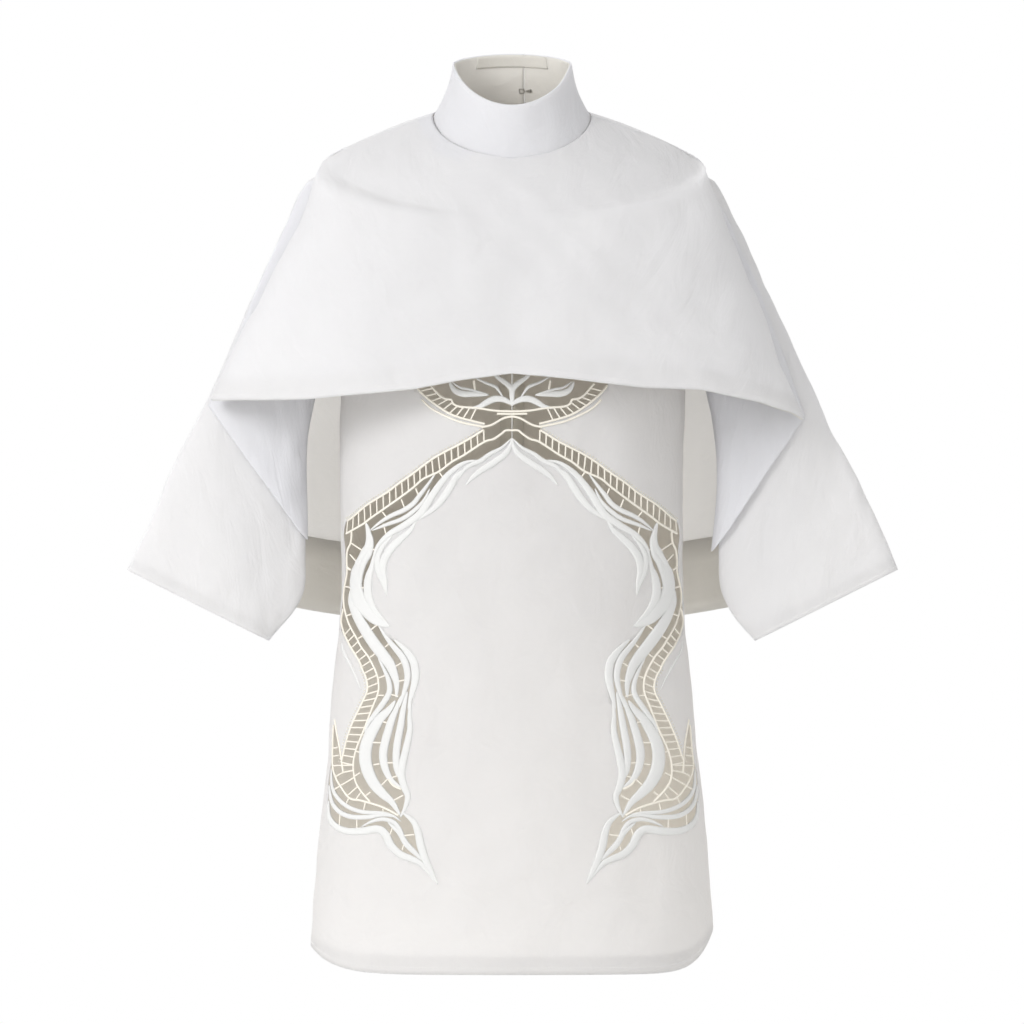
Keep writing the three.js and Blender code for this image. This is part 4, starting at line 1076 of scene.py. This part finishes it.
def cape_surface(rows, s, v):
    """s runs from -1 at the wearer's right edge to 1 at the left, v down from the neck to the hem."""
    row = rows_at(rows, v)
    sides = np.where((s < 0)[:, None], row[:, 0:3], row[:, 3:6])
    angle = s * math.pi / 2
    bow = np.cos(angle)
    dip = (1 - np.abs(np.sin(angle))) ** 2
    dip = bow + (dip - bow) * np.clip(v * 1.5 - 0.5, 0, 1) if rows is CAPE_FRONT_ROWS else bow
    x = sides[:, 0] * np.sin(angle)
    y = sides[:, 2] + (row[:, 6] - sides[:, 2]) * bow
    return np.stack([x, y, sides[:, 1] + (row[:, 7] - sides[:, 1]) * dip], 1)


def cape_front_surface(u, v):
    s = (2 * u - 1) * (1 - SHOULDER_GAP)
    point = cape_surface(CAPE_FRONT_ROWS, s, v)
    hem = cape_surface(CAPE_FRONT_ROWS, s, np.ones(len(s)))
    pull = np.clip((v - 0.66) / 0.34, 0, 1) ** 1.5
    point[:, 2] += pull * (np.interp(hem[:, 0], *FRONT_HEM_LINE) - hem[:, 2])
    return point


def hem_turn(surface, height, nu):
    """The turned-up hem of a cape: the last stretch of its surface, as high as given."""
    ends = surface(np.linspace(0, 1, nu + 1), np.full(nu + 1, 0.97))
    lows = surface(np.linspace(0, 1, nu + 1), np.ones(nu + 1))
    per_share = np.linalg.norm(lows - ends, axis=1) / 0.03

    def turned(u, v):
        share = height / np.interp(u, np.linspace(0, 1, nu + 1), per_share)
        return surface(0.008 + 0.984 * u, 1 - share * (1 - v) - 0.0006)

    return grid(turned, nu, 4)


def hem_line(surface, height, count):
    u = np.linspace(0.006, 0.994, count)
    ends, lows = surface(u, np.full(count, 0.97)), surface(u, np.ones(count))
    share = height / (np.linalg.norm(lows - ends, axis=1) / 0.03)
    line = surface(u, 1 - share)
    outward = line * [0.3, 1, 0]
    return line + outward / np.linalg.norm(outward, axis=1)[:, None] * 0.2


def cape_waves(seed):
    """Folds that fall outwards from the shoulders and are deepest near the hem, over soft creases."""

    def waves(points):
        depth = np.clip(-points[:, 2] / 250, 0, 1.3)
        spread = np.arctan2(points[:, 0], 340 + points[:, 2] * 0.3)
        fall = np.sin(spread * 9.5 + seed) + 0.6 * np.sin(spread * 17 + 2.1 * seed)
        place = points[:, [0, 2]]
        calm = np.clip((-points[:, 2] - 20) / 60, 0, 1)
        creases = rumple(place, 1.5, 110, seed) + rumple(place, 0.5, 38, seed + 1)
        return 1.7 * depth * fall + calm * creases

    return waves


def hang(piece, node_names):
    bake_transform(piece)
    if node_names:
        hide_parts(*node_names)


cape_front_cloth = ruffled(cape_front_surface, 1, cape_waves(5))
cape_grid = grid(cape_front_cloth, 150, 110)
cape_front = thick_cloth("cape_front_cloth", *cape_grid, poplin, behind=poplin_wrong_side)
turn_grid = hem_turn(cape_front_cloth, 20, 110)
cape_front_turn = thick_cloth(
    "cape_front_hem_turning", *turn_grid, poplin_wrong_side, shift=-2.0, thickness=0.7
)
cape_front_stitches = grow(
    "cape_front_hem_stitches", [hem_line(cape_front_cloth, 7, 260)], row_of_stitches, **STITCH
)
hang(cape_front_stitches, [])
hang(
    cape_front, ["cape_front_top", "cape_front_fall"],
)
hang(cape_front_turn, ["cape_front_facing"])

for side, word in ((1, "left"), (-1, "right")):
    def cape_back_surface(u, v, side=side):
        half = rows_at(CAPE_BACK_ROWS, v)[:, 0]
        inner = 2 / math.pi * np.arcsin(0.4 / half)
        return cape_surface(CAPE_BACK_ROWS, side * (inner + (1 - SHOULDER_GAP - inner) * u), v)

    cape_back_cloth = ruffled(cape_back_surface, -side, cape_waves(9))
    cape_grid = grid(cape_back_cloth, 80, 140)
    cape = thick_cloth(f"cape_back_{word}_cloth", *cape_grid, poplin, behind=poplin_wrong_side)
    turn_grid = hem_turn(cape_back_cloth, CAPE_BACK_TURN, 70)
    turning = thick_cloth(
        f"cape_back_hem_turning_{word}", *turn_grid, poplin_wrong_side, shift=-2.0, thickness=0.7
    )
    stitch_path = hem_line(cape_back_cloth, CAPE_BACK_TURN - 1, 130)
    stitches = grow(f"cape_back_hem_stitches_{word}", [stitch_path], row_of_stitches, **STITCH)
    hang(stitches, [])
    hang(
        cape, [f"cape_back_top_{word}", f"cape_back_fall_{word}"],
    )
    hang(turning, [f"cape_back_hem_{word}"])


# Sleeves: wide flat tubes of poplin that spread from the armhole, each with a flap of the same cloth
# laid over its front, which wraps the inner edge and ends in a free slanting edge.

SLEEVE_ROWS = [  # outer edge x and z, inner edge x and z, half depth
    [175, -51.5, 175, -226.5, 39], [202.5, -64, 189, -246, 31], [227, -110, 198, -280, 24],
    [262, -186, 206, -332, 18], [299, -271, 207, -386, 16], [338, -348, 207, -440, 15],
    [361, -401, 212, -481, 15], [386, -453, 242, -525, 15],
]
SLEEVE_STEPS = len(SLEEVE_ROWS) - 1
FLAP_ROWS = 4
FLAP_TIPS = {"left": [301, -287, 202, -435, 18.5], "right": [304.5, -287, 207, -423, 18.5]}
FLAP_STARTS = {"left": math.radians(36), "right": math.radians(18)}
FLAP_END = math.radians(216)
ARMHOLE_GAP = 1.9


def tube_point(side, row, angle):
    share = (1 - np.cos(angle)) / 2
    x = side * (row[:, 0] + (row[:, 2] - row[:, 0]) * share)
    return np.stack([x, -row[:, 4] * np.sin(angle), row[:, 1] + (row[:, 3] - row[:, 1]) * share], 1)


def seated(point, side, pull):
    """Brings a sleeve's head onto the body's side; pull is 1 at the seam and 0 a row further down."""
    half, front_y = BODY_ROWS[5][0], BODY_ROWS[5][2]
    seat = half * np.sqrt(1 - (point[:, 1] / front_y) ** 2) + ARMHOLE_GAP
    pull = np.clip(pull, 0, 1)
    point[:, 0] = side * (np.abs(point[:, 0]) * (1 - pull) + seat * pull)
    return point


for side, word in ((1, "left"), (-1, "right")):
    def sleeve_surface(u, v, side=side):
        on_tube = tube_point(side, rows_at(SLEEVE_ROWS, v), math.pi + u * math.tau)
        return seated(on_tube, side, 1 - v * SLEEVE_STEPS)

    def axis_of(v, side=side):
        row = rows_at(SLEEVE_ROWS, v)
        return np.stack([side * (row[:, 0] + row[:, 2]) / 2, 0 * v, (row[:, 1] + row[:, 3]) / 2], 1)

    def flap_surface(u, v, side=side, word=word):
        row = rows_at(SLEEVE_ROWS[:FLAP_ROWS] + [FLAP_TIPS[word]], v)
        angle = FLAP_STARTS[word] + (FLAP_END - FLAP_STARTS[word]) * u
        return seated(tube_point(side, row, angle), side, 1 - v * FLAP_ROWS)

    def spread(nu, nv, low=0.0):
        return axis_of(np.repeat(low + (1 - low) * np.linspace(0, 1, nv + 1), nu + 1))

    def arm_waves(points, side=side):
        place = np.stack([points[:, 0] + 2.2 * points[:, 1], points[:, 2]], 1)
        free = np.clip((np.abs(points[:, 0]) - 176) / 40, 0, 1)
        return free * (rumple(place, 1.3, 100, 32) + rumple(place, 0.4, 34, 35))

    sleeve_cloth = ruffled(sleeve_surface, -side, arm_waves)
    flap_cloth = ruffled(flap_surface, -side, arm_waves)
    sleeve_grid = grid(sleeve_cloth, 96, 110)
    sleeve = thick_cloth(
        f"sleeve_{word}_cloth", *sleeve_grid, poplin, behind=poplin_wrong_side, inside=spread(96, 110)
    )
    turn_grid = grid(lambda u, v: sleeve_cloth(u, 0.958 + 0.0415 * v), 96, 3)
    turning = thick_cloth(
        f"sleeve_hem_turning_{word}", *turn_grid, poplin_wrong_side, shift=-1.6, thickness=0.7,
        inside=spread(96, 3, 0.958),
    )
    around_hem = sleeve_cloth(np.linspace(0, 1, 160), np.full(160, 0.985))
    outward = around_hem - axis_of(np.full(160, 0.985))
    around_hem += outward / np.linalg.norm(outward, axis=1)[:, None] * 0.15
    stitches = grow(f"sleeve_hem_stitches_{word}", [around_hem], row_of_stitches, **STITCH)
    flap_grid = grid(flap_cloth, 70, 90)
    flap = thick_cloth(f"over_flap_{word}_cloth", *flap_grid, poplin, shift=2.6, inside=spread(70, 90))
    hang(stitches, [])
    hang(sleeve, [f"sleeve_{word}"])
    hang(turning, [f"sleeve_facing_{word}"])
    hang(flap, [f"over_flap_{word}"])
